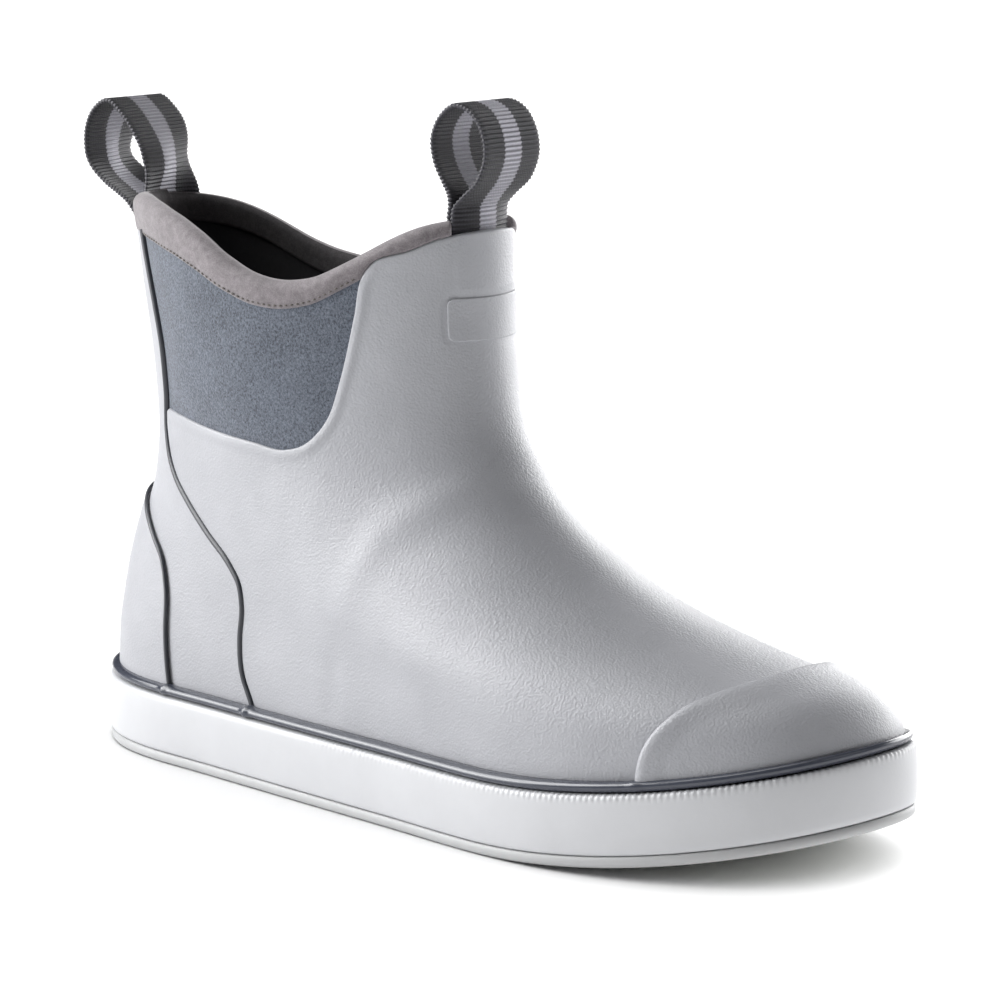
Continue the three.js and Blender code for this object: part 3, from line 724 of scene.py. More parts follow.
# Twisted bonded polyester thread, pressed fibre board, foamed rubber and plain strip steel: each
# a base colour broken up by strands, fibres, cells or rolling lines of its own size.
@dataclass(frozen=True)
class GrainedStock(Finish):
    """Thread, board, foam or steel with one simple grain."""

    dark: str = "#5c5855"
    light: str = "#8b8582"
    grain: float = 0.6
    stretch: tuple[float, float, float] = (1.0, 1.0, 1.0)
    depth: float = 0.05

    def shade(self, tree: Tree, shader: bpy.types.Node) -> None:
        """Adds the grain in colour and height."""
        place = add_node(tree, "ShaderNodeTexCoord").outputs["Object"]
        drawn = scaled(tree, place, self.stretch)
        grain = noise(tree, drawn, 1000 / self.grain, 3.0, roughness=0.6)
        tree.links.new(tinted(tree, grain, self.dark, self.light), shader.inputs["Base Color"])
        emboss(tree, shader, grain, 0.6, self.depth)


UPPER_RUBBER = PebbledRubber("moulded_upper_rubber", "grey_rubber", "#adaeb3", 0.46)
TRIM_RUBBER = PebbledRubber(
    "moulded_tab_rubber", "dark_rubber", "#55575e", 0.5, dark="#4c4e55", light="#5f6168"
)
PIPING_RUBBER = PressedRubber(
    "extruded_piping_rubber", "piping_rubber", "#2b2d33", 0.42, dark="#26282e", light="#33353c"
)
BEAD_RUBBER = PressedRubber(
    "extruded_bead_rubber", "bead_rubber", "#454852", 0.2, dark="#3c3f49", light="#4c4f59"
)
BAND_RUBBER = PressedRubber(
    "pressed_foxing_rubber", "white_rubber", "#c8c9cc", 0.4, dark="#c1c2c5", light="#cccdd0", weave=1.9
)
# The rubber of the tread made slightly darker as painted shade, for the rim that shows below the band.
PAINTED_SHADE_RIM_RUBBER = PressedRubber(
    "sole_edge_rubber_painted_shade", "outsole_rubber", "#b4b5b6", 0.5, dark="#adaeaf", light="#b9babb"
)
SOLE_RUBBER = PressedRubber(
    "moulded_sole_rubber", "outsole_rubber", "#bcbeb9", 0.55, dark="#b2b4af", light="#c4c6c1"
)
GORE_KNIT = HeatheredKnit("heathered_gore_knit", "gore_fabric", "#6f7683", 0.92, sheen=0.25)
COLLAR_TRICOT = BrushedTricot("brushed_collar_tricot", "binding_fabric", "#8f8a8a", 0.85, sheen=0.3)
# The collar tricot made darker as painted shade, for the side that looks into the boot.
PAINTED_SHADE_TRICOT = BrushedTricot(
    "collar_tricot_painted_shade", "binding_fabric", "#3b3739", 0.9, dark="#2b282a", light="#423e40"
)
WEBBING = Grosgrain("polyester_grosgrain", "webbing", "#26252b", 0.6, sheen=0.03)
# The binding's section has this many strips of faces, counted from the outside and over the roll.
# Those from the second number on look into the boot and take the painted shade.
BINDING_STRIPS = 30
FIRST_INNER_STRIP = 19
LINING_FLEECE = ShortPile("black_lining_fleece", "lining_fabric", "#151418", 0.97, sheen=0.1)
FOOTBED_TOP = ShortPile(
    "felted_footbed_cloth", "footbed_foam", "#2b2c31", 0.93, dark="#212227", light="#393a40"
)
THREAD = GrainedStock(
    "bonded_polyester_thread", "thread", "#56514f", 0.6, dark="#49443f", light="#625c59",
    grain=0.25, sheen=0.2,
)
BOARD = GrainedStock(
    "pressed_fibre_board", "board", "#8c7b62", 0.9, dark="#7d6d55", light="#9b8a70", grain=1.5
)
FOAM = GrainedStock(
    "foamed_rubber", "midsole_foam", "#b8b8b4", 0.85, dark="#a8a8a4", light="#c6c6c2", grain=0.8
)
SHANK_STEEL = GrainedStock(
    "rolled_spring_steel", "shank_steel", "#9aa0a6", 0.35, metallic=1.0, dark="#8b9197",
    light="#a8aeb4", grain=0.5, stretch=(0.05, 1.0, 1.0), depth=0.01,
)


# ---------------------------------------------------------------------------------------- meshes
def make_object(
    name: str,
    points: Array,
    faces: Sequence[Sequence[int]] | NDArray[np.int64],
    form: FootForm,
    uv: Array | None = None,
) -> bpy.types.Object:
    """Makes a smooth-shaded object from points of the flat-soled boot.

    Args:
        name: Name of the piece.
        points: Points in millimetres, before the toe is lifted.
        faces: Corner numbers of each face, counter-clockwise from outside.
        form: Form that lifts the toe.
        uv: Pattern coordinates of each face corner, in metres or shares.

    Returns:
        The new object, linked to the scene.
    """
    mesh = bpy.data.meshes.new(name)
    corners = faces.tolist() if isinstance(faces, np.ndarray) else [list(f) for f in faces]
    mesh.from_pydata((form.lift(points) * MM).tolist(), [], corners)
    if uv is not None:
        mesh.uv_layers.new(name="pattern").data.foreach_set("uv", uv.astype(np.float32).ravel())
    mesh.shade_smooth()
    piece = bpy.data.objects.new(name, mesh)
    bpy.context.scene.collection.objects.link(piece)
    return piece


Whole = NDArray[np.int64]


def clip_triangles(triangles: Whole, inside: Array) -> tuple[Whole, Array, Whole]:
    """Cuts triangles along the line where a value is zero.

    Args:
        triangles: Corner numbers, (n, 3).
        inside: Value at each vertex, positive where material stays.

    Returns:
        Pairs of vertices that each new vertex lies between, its share of the way from the first
        to the second, and the triangles left, which count new vertices after the old ones.
    """
    kept = inside[triangles] > 0
    count = kept.sum(1)
    whole = triangles[count == 3]
    pairs: list[NDArray[np.int64]] = []
    rotated = {}
    for wanted in (1, 2):
        part, flags = triangles[count == wanted], kept[count == wanted]
        odd = (flags if wanted == 1 else ~flags).argmax(1)
        turned = np.stack([part[np.arange(len(part)), (odd + k) % 3] for k in range(3)], 1)
        rotated[wanted] = turned
        pairs += [np.sort(turned[:, [0, 1]], 1), np.sort(turned[:, [0, 2]], 1)]
    stacked = np.vstack(pairs)
    unique, number = np.unique(stacked, axis=0, return_inverse=True)
    number = number.ravel() + len(inside)
    sizes = np.cumsum([0] + [len(p) for p in pairs])
    ab1, ac1, ab2, ac2 = (number[sizes[k] : sizes[k + 1]] for k in range(4))
    one, two = rotated[1], rotated[2]
    cut = [
        np.stack([one[:, 0], ab1, ac1], 1),
        np.stack([ab2, two[:, 1], two[:, 2]], 1),
        np.stack([ab2, two[:, 2], ac2], 1),
    ]
    a, b = inside[unique[:, 0]], inside[unique[:, 1]]
    return unique, a / (a - b), np.vstack([whole, *cut])


@dataclass
class Panel:
    """A panel of the upper, cut from one layer of the form, with rolled edges."""

    form: FootForm
    distance: float
    low: float
    high: float
    inside: Field
    edge_radius: float = 0.8
    depth: float = 2.0
    relief: Relief | None = None
    first_angle: float = 0.0
    columns: int = 460
    row: float = 1.5
    inward: bool = False
    ROLL = 6

    def surface(self, angle: Array, height: Array) -> Array:
        """Gives points of the panel's face, relief included."""
        points = self.form.layer(angle, height, self.distance)
        if self.relief is None:
            return points
        rise = self.relief(points, self.inside(points))
        return points + self.form.normal(angle, height) * rise[..., None]

    def grid(self) -> tuple[Array, Array, NDArray[np.int64]]:
        """Lays a triangle grid over the layer.

        Returns:
            Angles and heights of the vertices, and the triangles between them.
        """
        rows = int((self.high - self.low) / self.row) + 1
        angle = np.linspace(self.first_angle, self.first_angle + FULL_TURN, self.columns + 1)
        height = np.linspace(self.low, self.high, rows)
        angles, heights = (g.ravel() for g in np.meshgrid(angle, height))
        first = (np.arange(rows - 1)[:, None] * (self.columns + 1) + np.arange(self.columns)).ravel()
        a, b, c, d = first, first + 1, first + self.columns + 2, first + self.columns + 1
        return angles, heights, np.vstack([np.stack([a, b, c], 1), np.stack([a, c, d], 1)])

    def build(self, name: str) -> bpy.types.Object:
        """Cuts the panel and rolls its edges.

        Args:
            name: Name of the piece.

        Returns:
            The new object.
        """
        angles, heights, triangles = self.grid()
        value = self.inside(self.form.layer(angles, heights, self.distance)) - self.edge_radius
        near = value[triangles].max(1) > 0
        pairs, share, triangles = clip_triangles(triangles[near], value)
        old = len(angles)
        angles = np.r_[angles, angles[pairs[:, 0]] * (1 - share) + angles[pairs[:, 1]] * share]
        heights = np.r_[heights, heights[pairs[:, 0]] * (1 - share) + heights[pairs[:, 1]] * share]
        used, triangles = np.unique(triangles, return_inverse=True)
        triangles = triangles.reshape(-1, 3)
        cut = used >= old
        angles, heights = angles[used], heights[used]
        points = self.surface(angles, heights)
        points, triangles = self.roll(points, triangles, angles, heights, cut)
        if self.inward:
            triangles = triangles[:, ::-1]
        return make_object(name, points, triangles, self.form)

    def roll(
        self, points: Array, triangles: NDArray[np.int64], angles: Array, heights: Array,
        cut: NDArray[np.bool_],
    ) -> tuple[Array, NDArray[np.int64]]:
        """Adds a rounded lip and a wall along every cut edge.

        Args:
            points: Vertices of the cut panel.
            triangles: Its triangles.
            angles: Angle of each vertex.
            heights: Height of each vertex.
            cut: Whether each vertex lies on the cut.

        Returns:
            Vertices and triangles with the lip added.
        """
        edges = np.vstack([triangles[:, [0, 1]], triangles[:, [1, 2]], triangles[:, [2, 0]]])
        edges = edges[cut[edges].all(1)]
        seen = {(int(a), int(b)) for a, b in edges}
        border = np.array([(a, b) for a, b in seen if (b, a) not in seen])
        rim, local = np.unique(border, return_inverse=True)
        local = local.reshape(-1, 2)
        base = self.form.layer(angles[rim], heights[rim], self.distance)
        normal = self.form.normal(angles[rim], heights[rim])
        steps = np.eye(3) * 0.2
        slope = np.stack([self.inside(base + s) - self.inside(base - s) for s in steps], -1)
        outward = unit(-(slope - normal * (slope * normal).sum(1, keepdims=True)))
        rings = [rim]
        for turn in np.linspace(0, HALF_TURN / 2, self.ROLL)[1:]:
            rings.append(self.add_ring(points, rim, outward * math.sin(turn), normal * (math.cos(turn) - 1)))
            points = rings[-1][1]
            rings[-1] = rings[-1][0]
        wall = self.add_ring(points, rim, outward, -normal * (self.depth / max(self.edge_radius, 1e-6)))
        points = wall[1]
        rings.append(wall[0])
        strips = []
        for here, beyond in zip(rings[:-1], rings[1:]):
            a, b, c, d = here[local[:, 1]], here[local[:, 0]], beyond[local[:, 0]], beyond[local[:, 1]]
            strips += [np.stack([a, b, c], 1), np.stack([a, c, d], 1)]
        return points, np.vstack([triangles, *strips])

    def add_ring(
        self, points: Array, rim: NDArray[np.int64], sideways: Array, down: Array
    ) -> tuple[NDArray[np.int64], Array]:
        """Adds one more row of vertices beyond the cut edge.

        Args:
            points: All vertices so far.
            rim: Vertices of the cut edge.
            sideways: Share of the edge radius to move away from the panel.
            down: Share of the edge radius to move in towards the form.

        Returns:
            Numbers of the new vertices, and all vertices.
        """
        fresh = points[rim] + (sideways + down) * self.edge_radius
        return np.arange(len(points), len(points) + len(rim)), np.vstack([points, fresh])


@dataclass
class Sweep:
    """A section carried round the form."""

    form: FootForm
    angles: Array
    run: Array

    def build(
        self, name: str, distance: Array, height: Array, closed: bool = True
    ) -> bpy.types.Object:
        """Makes the swept mesh.

        Args:
            name: Name of the piece.
            distance: Distance from the form of each section corner, (angles, corners).
            height: Height of each section corner, (angles, corners).
            closed: Whether the section closes on itself.

        Returns:
            The new object.
        """
        count, corners = distance.shape
        angle = np.repeat(self.angles[:, None], corners, 1)
        points = self.form.layer(angle, height, distance)
        wrapped = np.r_[np.arange(count), 0]
        last = corners if closed else corners - 1
        c = np.arange(last)
        d = (c + 1) % corners
        a = (wrapped[:-1, None] * corners + c).ravel()
        b = (wrapped[1:, None] * corners + c).ravel()
        e = (wrapped[1:, None] * corners + d).ravel()
        f = (wrapped[:-1, None] * corners + d).ravel()
        section = points[0]
        across = np.r_[0, np.cumsum(np.linalg.norm(np.diff(section, axis=0), axis=1))]
        across = np.r_[across, across[-1] + 1.0]
        u0, u1 = np.repeat(self.run[:-1], last), np.repeat(self.run[1:], last)
        v0, v1 = np.tile(across[c], count), np.tile(across[c + 1], count)
        uv = np.stack([u0, v0, u1, v0, u1, v1, u0, v1], 1).reshape(-1, 2) * MM
        return make_object(name, points.reshape(-1, 3), np.stack([a, b, e, f], 1), self.form, uv)


def ring_round(form: FootForm, height: float, pitch: float) -> Sweep:
    """Starts a sweep with evenly spaced stations round the outline at a height."""
    angles, run = form.even_angles(height, pitch)
    return Sweep(form, angles[:-1], run)


# ------------------------------------------------------------------------------------ the upper
MAIN_SEAM = EdgeLine((
    (-57, 2), (-60, 25), (-65, 36), (-66, 47), (-65, 57.5), (-66.5, 64.5), (-71, 69.5),
    (-83.5, 78), (-96.5, 87), (-104, 93), (-109.5, 100), (-112, 108), (-110.5, 121),
    (-110.5, 136), (-113.5, 149), (-119.5, 167.5), (-127, 200),
))
FRONT_EDGE = EdgeLine((
    (-125, 115.5), (-110, 115), (-77.5, 112.5), (-59, 111.3), (-46, 110.4), (-39.5, 112.3),
    (-33.5, 117.5), (-30, 123.5), (-28.3, 129), (-25.8, 138.4), (-22.6, 153.6), (-19.5, 167.5),
    (-17, 171), (-7.5, 174.8), (-1, 178.3), (9, 180.9), (20, 181),
))
COUNTER_EDGE = EdgeLine((
    (-160, 87.5), (-140, 85.5), (-127, 80.5), (-114.5, 72), (-107.5, 65.5), (-104.3, 57.5),
    (-103.3, 43.5), (-102, 31), (-100.2, 20),
))
TOE_CAP_EDGE = EdgeLine((
    (99.3, 20), (99.8, 26), (100.8, 34), (102.8, 39.3), (105.4, 43.6), (108.5, 47.2),
    (112, 49.2), (120, 52),
))


class Side(Enum):
    """The two sides of the boot, as the sign of the angle round the form."""

    OUTER = 1
    INNER = -1


@dataclass
class Upper:
    """The rubber panels of the upper and the pieces laid on them."""

    form: FootForm
    gore_flat: tuple[float, float] = (0.105, 0.066)
    gore_area: float = 0.0050
    shell_depth: float = 2.0
    seam_gap: float = 0.5
    cap_distance: float = 2.1
    cap_radius: float = 1.5
    counter_distance: float = 1.3
    badge_distance: float = 0.75
    badge_half: tuple[float, float] = (16.0, 6.75)
    badge_middle: float = 153.25
    badge_corner: float = 2.2
    tail_half_width: float = 12.5
    tail_rise: float = 0.45
    piping_radius: float = 1.15
    counter_piping_radius: float = 0.75
    gore_drop: float = 0.7
    gore_swell: float = 0.5
    shell_high: float = 186.0

    def front_inside(self, points: Array) -> Array:
        """Measures how far points lie inside the front panel."""
        ahead = -MAIN_SEAM.left_of(points) - self.seam_gap
        return np.minimum(ahead, -FRONT_EDGE.left_of(points))

    def back_inside(self, points: Array) -> Array:
        """Measures how far points lie inside the back panel."""
        behind = MAIN_SEAM.left_of(points) - self.seam_gap
        return np.minimum(behind, 1.5 - self.form.above_binding(points))

    def gore_inside(self, points: Array) -> Array:
        """Measures how far points lie inside the gore, which tucks under its neighbours."""
        ahead = -MAIN_SEAM.left_of(points) + 1.0
        above = FRONT_EDGE.left_of(points) + 1.5
        front = -18.5 - points[:, 0]
        return np.minimum.reduce([ahead, above, front, 3.0 - self.form.above_binding(points)])

    def badge_inside(self, points: Array) -> Array:
        """Measures how far points lie inside the badge's rounded outline."""
        corner = self.badge_corner
        across = np.abs(points[:, 1]) - self.badge_half[0] + corner
        up = np.abs(points[:, 2] - self.badge_middle) - self.badge_half[1] + corner
        outside = np.hypot(np.maximum(across, 0), np.maximum(up, 0))
        inside = corner - outside - np.minimum(np.maximum(across, up), 0)
        return np.where(points[:, 0] > -20, inside, -50.0)

    def front_relief(self, points: Array, inside: Array) -> Array:
        """Raises the moulded lip, the webbing under the rubber and the soft flexing folds.

        Args:
            points: Points of the plain face.
            inside: Their distance inside the panel's edge.

        Returns:
            How far each stands out.
        """
        x, y, z = points.T
        beside_gore = smoothstep(z, 100, 112) * smoothstep(-x, 8, 20)
        lip = 0.45 * np.exp(-(((inside - 1.9) / 1.3) ** 2)) * beside_gore
        front = smoothstep(x, -25, -5)
        width = 1 - smoothstep(np.abs(y), self.tail_half_width - 0.7, self.tail_half_width + 1.6)
        tail = self.tail_rise * width * smoothstep(z, 157, 162) * front
        badge = self.badge_inside(points)
        groove = -0.35 * np.exp(-(((badge + 0.35) / 0.42) ** 2)) * front
        fold = 0.0
        for start, end, rise, half in FLEX_FOLDS:
            fold = fold + ridge(points, start, end, rise, half)
        return lip + tail + groove + fold

    def back_relief(self, points: Array, inside: Array) -> Array:
        """Lets the back panel thicken a little where it is lasted round the heel."""
        del inside
        return -0.25 * np.exp(-(((points[:, 2] - 95) / 14) ** 2))

    def cap_relief(self, points: Array, inside: Array) -> Array:
        """Raises the bead along the toe cap's edge, just inside its rolled lip."""
        del points
        return 0.35 * np.exp(-(((inside - 2.4) / 1.5) ** 2)) - 0.5 * smoothstep(inside, 4.0, 9.0)

    def gore_relief(self, points: Array, inside: Array) -> Array:
        """Swells the gore between its seams and lets it ripple slightly."""
        x, _, z = points.T
        swell = self.gore_swell * smoothstep(inside, 0, 16)
        ripple = 0.12 * np.sin(x / 5.3 + 0.8 * np.sin(z / 9.0)) * smoothstep(inside, 2, 9)
        return swell + ripple

    def counter_relief(self, points: Array, inside: Array) -> Array:
        """Draws the faint upright ribs along the heel patch's front edge."""
        rib = np.cos(FULL_TURN * points[:, 2] / 4.6)
        return 0.06 * rib * np.exp(-(((inside - 4.5) / 3.0) ** 2)) * smoothstep(points[:, 2], 40, 48)

    def front_panel(self) -> bpy.types.Object:
        """Builds the front panel, which wraps from seam to seam round the toe."""
        return Panel(
            self.form, 0.0, 20, self.shell_high, self.front_inside, 0.8, self.shell_depth,
            self.front_relief, 0.0, 620, 1.15,
        ).build("upper_front")

    def back_panel(self) -> bpy.types.Object:
        """Builds the back panel, which wraps round the heel."""
        return Panel(
            self.form, 0.0, 20, self.shell_high, self.back_inside, 0.4, self.shell_depth,
            self.back_relief, -HALF_TURN,
        ).build("upper_back")

    def toe_cap(self) -> bpy.types.Object:
        """Builds the toe cap with its raised rounded lip."""
        return Panel(
            self.form, self.cap_distance, 24, 62, lambda p: -TOE_CAP_EDGE.left_of(p),
            self.cap_radius, self.cap_distance - 0.05, self.cap_relief, 0.0, 900, 0.9,
        ).build("toe_cap_moulding")

    def heel_patch(self) -> bpy.types.Object:
        """Builds the patch that reinforces the heel."""
        return Panel(
            self.form, self.counter_distance, 24, 90,
            lambda p: -COUNTER_EDGE.left_of(p) - 0.5, 0.5, 1.3, self.counter_relief, -HALF_TURN, 620, 1.2,
        ).build("heel_patch")

    def badge(self) -> bpy.types.Object:
        """Builds the plain raised plate on the front of the shaft."""
        return Panel(
            self.form, self.badge_distance, 144, 163, self.badge_inside, 0.45, 0.8,
            None, 0.0, 620, 0.5,
        ).build("front_plate")

    def gore(self, side: Side) -> bpy.types.Object:
        """Builds one stretch gore."""
        def inside(points: Array) -> Array:
            own = -points[:, 1] * side.value
            return np.minimum(self.gore_inside(points), own)

        name = f"gore_{side.name.lower()}"
        return Panel(
            self.form, -self.gore_drop, 106, 184, inside, 0.05, 1.2, self.gore_relief,
            -HALF_TURN if side is Side.INNER else 0.0, 460, 1.3,
        ).build(name)

    def piping(
        self, name: str, edge: EdgeLine, side: Side, radius: float, distance: float, low: float
    ) -> bpy.types.Object:
        """Builds a half-round cord of rubber along an edge.

        Args:
            name: Name of the piece.
            edge: Line it follows on the side view.
            side: Side of the boot.
            radius: Radius of the cord.
            distance: Layer that its middle line lies on.
            low: Height at which it starts, hidden behind the bead.

        Returns:
            The new object.
        """
        line = edge.samples[edge.samples[:, 1] > low]
        if line[0, 1] > line[-1, 1]:
            line = line[::-1]
        x, height = line.T
        angle = self.form.angle_at(x, height)
        for _ in range(4):
            reached = self.form.layer(angle, height, distance)[:, 0]
            angle = self.form.angle_at(
                self.form.point(angle, height)[:, 0] + x - reached, height
            )
        centre = self.form.layer(angle * side.value, height, distance)
        keep = (self.form.above_binding(centre) < 2.5) & (angle > 0.004)
        centre, angle, height = centre[keep], angle[keep], height[keep]
        normal = self.form.normal(angle * side.value, height)
        tangent = unit(np.gradient(centre, axis=0))
        across = unit(np.cross(tangent, normal))
        turns = np.linspace(-0.35, HALF_TURN + 0.35, 15)
        rings = (
            centre[:, None]
            + radius * np.cos(turns)[None, :, None] * across[:, None]
            + radius * np.sin(turns)[None, :, None] * normal[:, None]
        )
        count, corners = rings.shape[:2]
        first = (np.arange(count - 1)[:, None] * corners + np.arange(corners - 1)).ravel()
        faces = np.stack([first, first + 1, first + corners + 1, first + corners], 1)
        return make_object(name, rings.reshape(-1, 3), faces[:, ::-1], self.form)

    def build(self) -> list[bpy.types.Object]:
        """Builds, dresses and places every piece of the upper.

        Returns:
            The pieces.
        """
        made: list[bpy.types.Object] = []
        for piece, node in (
            (self.front_panel(), "front_shell"),
            (self.back_panel(), "back_shell"),
            (self.toe_cap(), "toe_cap"),
            (self.heel_patch(), "heel_counter_patch"),
            (self.badge(), "front_badge"),
        ):
            made.append(place(UPPER_RUBBER.dress(piece), node))
        for side, node in ((Side.OUTER, "lateral"), (Side.INNER, "medial")):
            cord = self.piping(
                f"seam_cord_{side.name.lower()}", MAIN_SEAM, side, self.piping_radius, -0.35, 22
            )
            made.append(place(PIPING_RUBBER.dress(cord), f"seam_piping_{node}"))
            knit = place(GORE_KNIT.dress(self.gore(side)), f"gore_panel_{node}")
            made.append(knit)
        trims = [
            self.piping(
                f"patch_cord_{side.name.lower()}", COUNTER_EDGE, side, self.counter_piping_radius,
                0.75, 24,
            )
            for side in Side
        ]
        made += [place(PIPING_RUBBER.dress(trim), "counter_piping") for trim in trims]
        return made


def ridge(
    points: Array, start: tuple[float, float], end: tuple[float, float], rise: float, half: float
) -> Array:
    """Raises or sinks a soft fold between two points of the outer side view.

    Args:
        points: Points of the face.
        start: [x, height] of one end.
        end: [x, height] of the other end.
        rise: Height of the fold, negative for a crease.
        half: Half its width.

    Returns:
        How far each point moves.
    """
    a, step = np.asarray(start), np.asarray(end, float) - np.asarray(start, float)
    offset = points[:, [0, 2]] - a
    share = (offset @ step) / (step @ step)
    gap = np.linalg.norm(offset - np.clip(share, 0, 1)[:, None] * step, axis=1)
    fade = smoothstep(share, -0.25, 0.25) * (1 - smoothstep(share, 0.75, 1.25))
    return rise * np.exp(-((gap / half) ** 2)) * fade


FLEX_FOLDS: tuple[tuple[tuple[float, float], tuple[float, float], float, float], ...] = (
    ((-8, 88), (24, 112), 0.9, 7.0),
    ((-18, 62), (-8, 88), 0.5, 6.0),
    ((-22, 30), (-19, 58), -0.35, 4.0),
    ((-52, 96), (-30, 90), 0.3, 8.0),
)


def place(piece: bpy.types.Object, *nodes: str, body: str = "boot") -> bpy.types.Object:
    """Makes a piece stand for CAD nodes and ride with a body."""
    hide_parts(*nodes)
    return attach(piece, body)


# ------------------------------------------------------------------------------------- the collar
@dataclass
class Collar:
    """The folded binding, its stitching and the lining below it."""

    form: FootForm
    outer: float = 0.15
    inner: float = -7.0
    inner_depth: float = 9.5
    stitch_rise: float = 1.0
    stitch_pitch: float = 2.1
    stitch_length: float = 1.5
    stitch_radius: float = 0.32
    stitch_back: float = -119.0
    stitch_front: float = -20.5
    pocket_half_width: float = 12.8
    pocket_floor: float = -5.3
    lining_distance: float = -6.3

    def binding(self) -> bpy.types.Object:
        """Builds the soft rolled binding with a dimple at every stitch."""
        ring = ring_round(self.form, 170, 0.9)
        angle = ring.angles
        rim, depth = self.form.rim_height(angle)[:, None], self.form.depth_at(angle)[:, None]
        middle = (self.outer + self.inner) / 2
        half = (self.outer - self.inner) / 2
        roll = 3.4
        arc = np.linspace(0, HALF_TURN, 15)
        outer_face = np.linspace(0, 1, 9)
        inner_face = np.linspace(0, 1, 7)[1:]
        distance = np.r_[
            [self.outer - 1.4, self.outer - 0.45], np.full(9, self.outer),
            middle + half * np.cos(arc[1:-1]), np.full(6, self.inner), [self.inner + 1.2],
        ]
        distance = np.repeat(distance[None], len(angle), 0)
        straight = depth - roll
        rise = np.concatenate([
            -depth - 0.1, -depth - 0.05,
            -depth + 0.35 + outer_face[None] * (straight - 0.35),
            np.repeat(-roll + roll * np.sin(arc[1:-1])[None], len(angle), 0),
            np.repeat((-roll - (self.inner_depth - roll) * inner_face)[None], len(angle), 0),
            np.full_like(depth, -self.inner_depth - 0.2),
        ], 1)
        height = rim + rise
        run = ring.run[:-1, None]
        above_edge = rise + depth
        row = np.exp(-(((above_edge - self.stitch_rise) / 0.9) ** 2))
        outside = distance > middle
        stitched = self.stitched(angle)[:, None]
        pull = 0.28 * row * (0.65 + 0.35 * np.cos(FULL_TURN * run / self.stitch_pitch))
        belly = 0.35 * np.sin(HALF_TURN * np.clip(above_edge / depth, 0, 1))
        ripple = 0.10 * np.sin(run / 4.1 + 1.3 * np.sin(run / 17.0)) + 0.08 * np.sin(run / 2.3)
        distance = distance + np.where(outside, belly - pull * stitched, 0) + ripple * 0.8
        distance = self.make_room(angle, distance, height)
        return ring.build("collar_binding", distance, height, closed=False)

    def paint_inner_face_shade(self, piece: bpy.types.Object) -> bpy.types.Object:
        """Gives the side of the binding that looks into the boot a darker copy of its cloth as painted shade.

        Args:
            piece: The binding, whose faces run up the outside, over the roll and down the inside.

        Returns:
            The same binding.
        """
        # Painted shade: the faces that look into the boot get the darker copy of the tricot.
        piece.data.materials.append(PAINTED_SHADE_TRICOT.material())
        strip = np.arange(len(piece.data.polygons)) % BINDING_STRIPS
        index = (strip >= FIRST_INNER_STRIP).astype(np.int32)
        piece.data.polygons.foreach_set("material_index", index)
        return piece

    def stitched(self, angle: Array) -> Array:
        """Tells, from 0 to 1, where the stitched part of the binding is."""
        x = self.form.point(angle, self.form.rim_height(angle))[:, 0]
        return smoothstep(x, self.stitch_back - 2, self.stitch_back + 2) * (
            1 - smoothstep(x, self.stitch_front, self.stitch_front + 3)
        )

    def make_room(self, angle: Array, distance: Array, height: Array) -> Array:
        """Thins the binding behind the webbing and behind the top of the front panel.

        Args:
            angle: Angle of each station.
            distance: Distance of each corner.
            height: Height of each corner.

        Returns:
            The distances with room made.
        """
        points = self.form.point(np.repeat(angle[:, None], distance.shape[1], 1), height)
        flat = points.reshape(-1, 3)
        pocket_edge = self.pocket_half_width
        behind_webbing = 1 - smoothstep(np.abs(points[..., 1]), pocket_edge, pocket_edge + 2.2)
        under = -FRONT_EDGE.left_of(flat).reshape(distance.shape)
        under_rubber = smoothstep(under, -0.6, 0.5) * smoothstep(points[..., 0], -21.5, -18.5)
        limit = np.minimum(
            self.outer + 2 - (self.outer + 2 - self.pocket_floor) * behind_webbing,
            self.outer + 2 - 4.4 * under_rubber,
        )
        return np.minimum(distance, np.maximum(limit, self.inner + 0.3 * (distance - self.inner)))

    def stitches(self) -> bpy.types.Object:
        """Builds the row of single stitches above the binding's lower edge."""
        rounds, across = 8, 5
        turn = np.linspace(0, FULL_TURN, rounds, endpoint=False)
        ball_points, faces = [], []
        for side in Side:
            dense = np.linspace(0, HALF_TURN, 2400)
            height = self.form.rim_height(dense * side.value) - self.form.depth_at(dense * side.value)
            height = height + self.stitch_rise
            line = self.form.layer(dense * side.value, height, self.outer + 0.02)
            wanted = (line[:, 0] > self.stitch_back) & (line[:, 0] < self.stitch_front)
            line, normal = line[wanted], self.form.normal(dense * side.value, height)[wanted]
            run = np.r_[0, np.cumsum(np.linalg.norm(np.diff(line, axis=0), axis=1))]
            for start in np.arange(0.5, run[-1] - self.stitch_length, self.stitch_pitch):
                spots = np.linspace(start, start + self.stitch_length, across)
                centre = np.stack([np.interp(spots, run, line[:, k]) for k in range(3)], 1)
                out = unit(np.stack([np.interp(spots, run, normal[:, k]) for k in range(3)], 1))
                along = unit(np.gradient(centre, axis=0))
                beside = unit(np.cross(out, along))
                fat = self.stitch_radius * np.array([0.35, 0.9, 1.0, 0.9, 0.35])
                sunk = np.array([-0.35, 0.05, 0.12, 0.05, -0.35])
                body = centre[:, None] + out[:, None] * (
                    sunk[:, None, None] + (fat[:, None] * np.sin(turn))[..., None]
                )
                body = body + beside[:, None] * (fat[:, None] * np.cos(turn))[..., None]
                first = len(ball_points) * across * rounds
                ball_points.append(body.reshape(-1, 3))
                for i in range(across - 1):
                    for j in range(rounds):
                        a, b = first + i * rounds + j, first + i * rounds + (j + 1) % rounds
                        faces.append((a, a + rounds, b + rounds, b))
                faces.append(tuple(first + j for j in range(rounds)))
                faces.append(tuple(first + (across - 1) * rounds + j for j in reversed(range(rounds))))
        return make_object("collar_stitches", np.vstack(ball_points), faces, self.form)

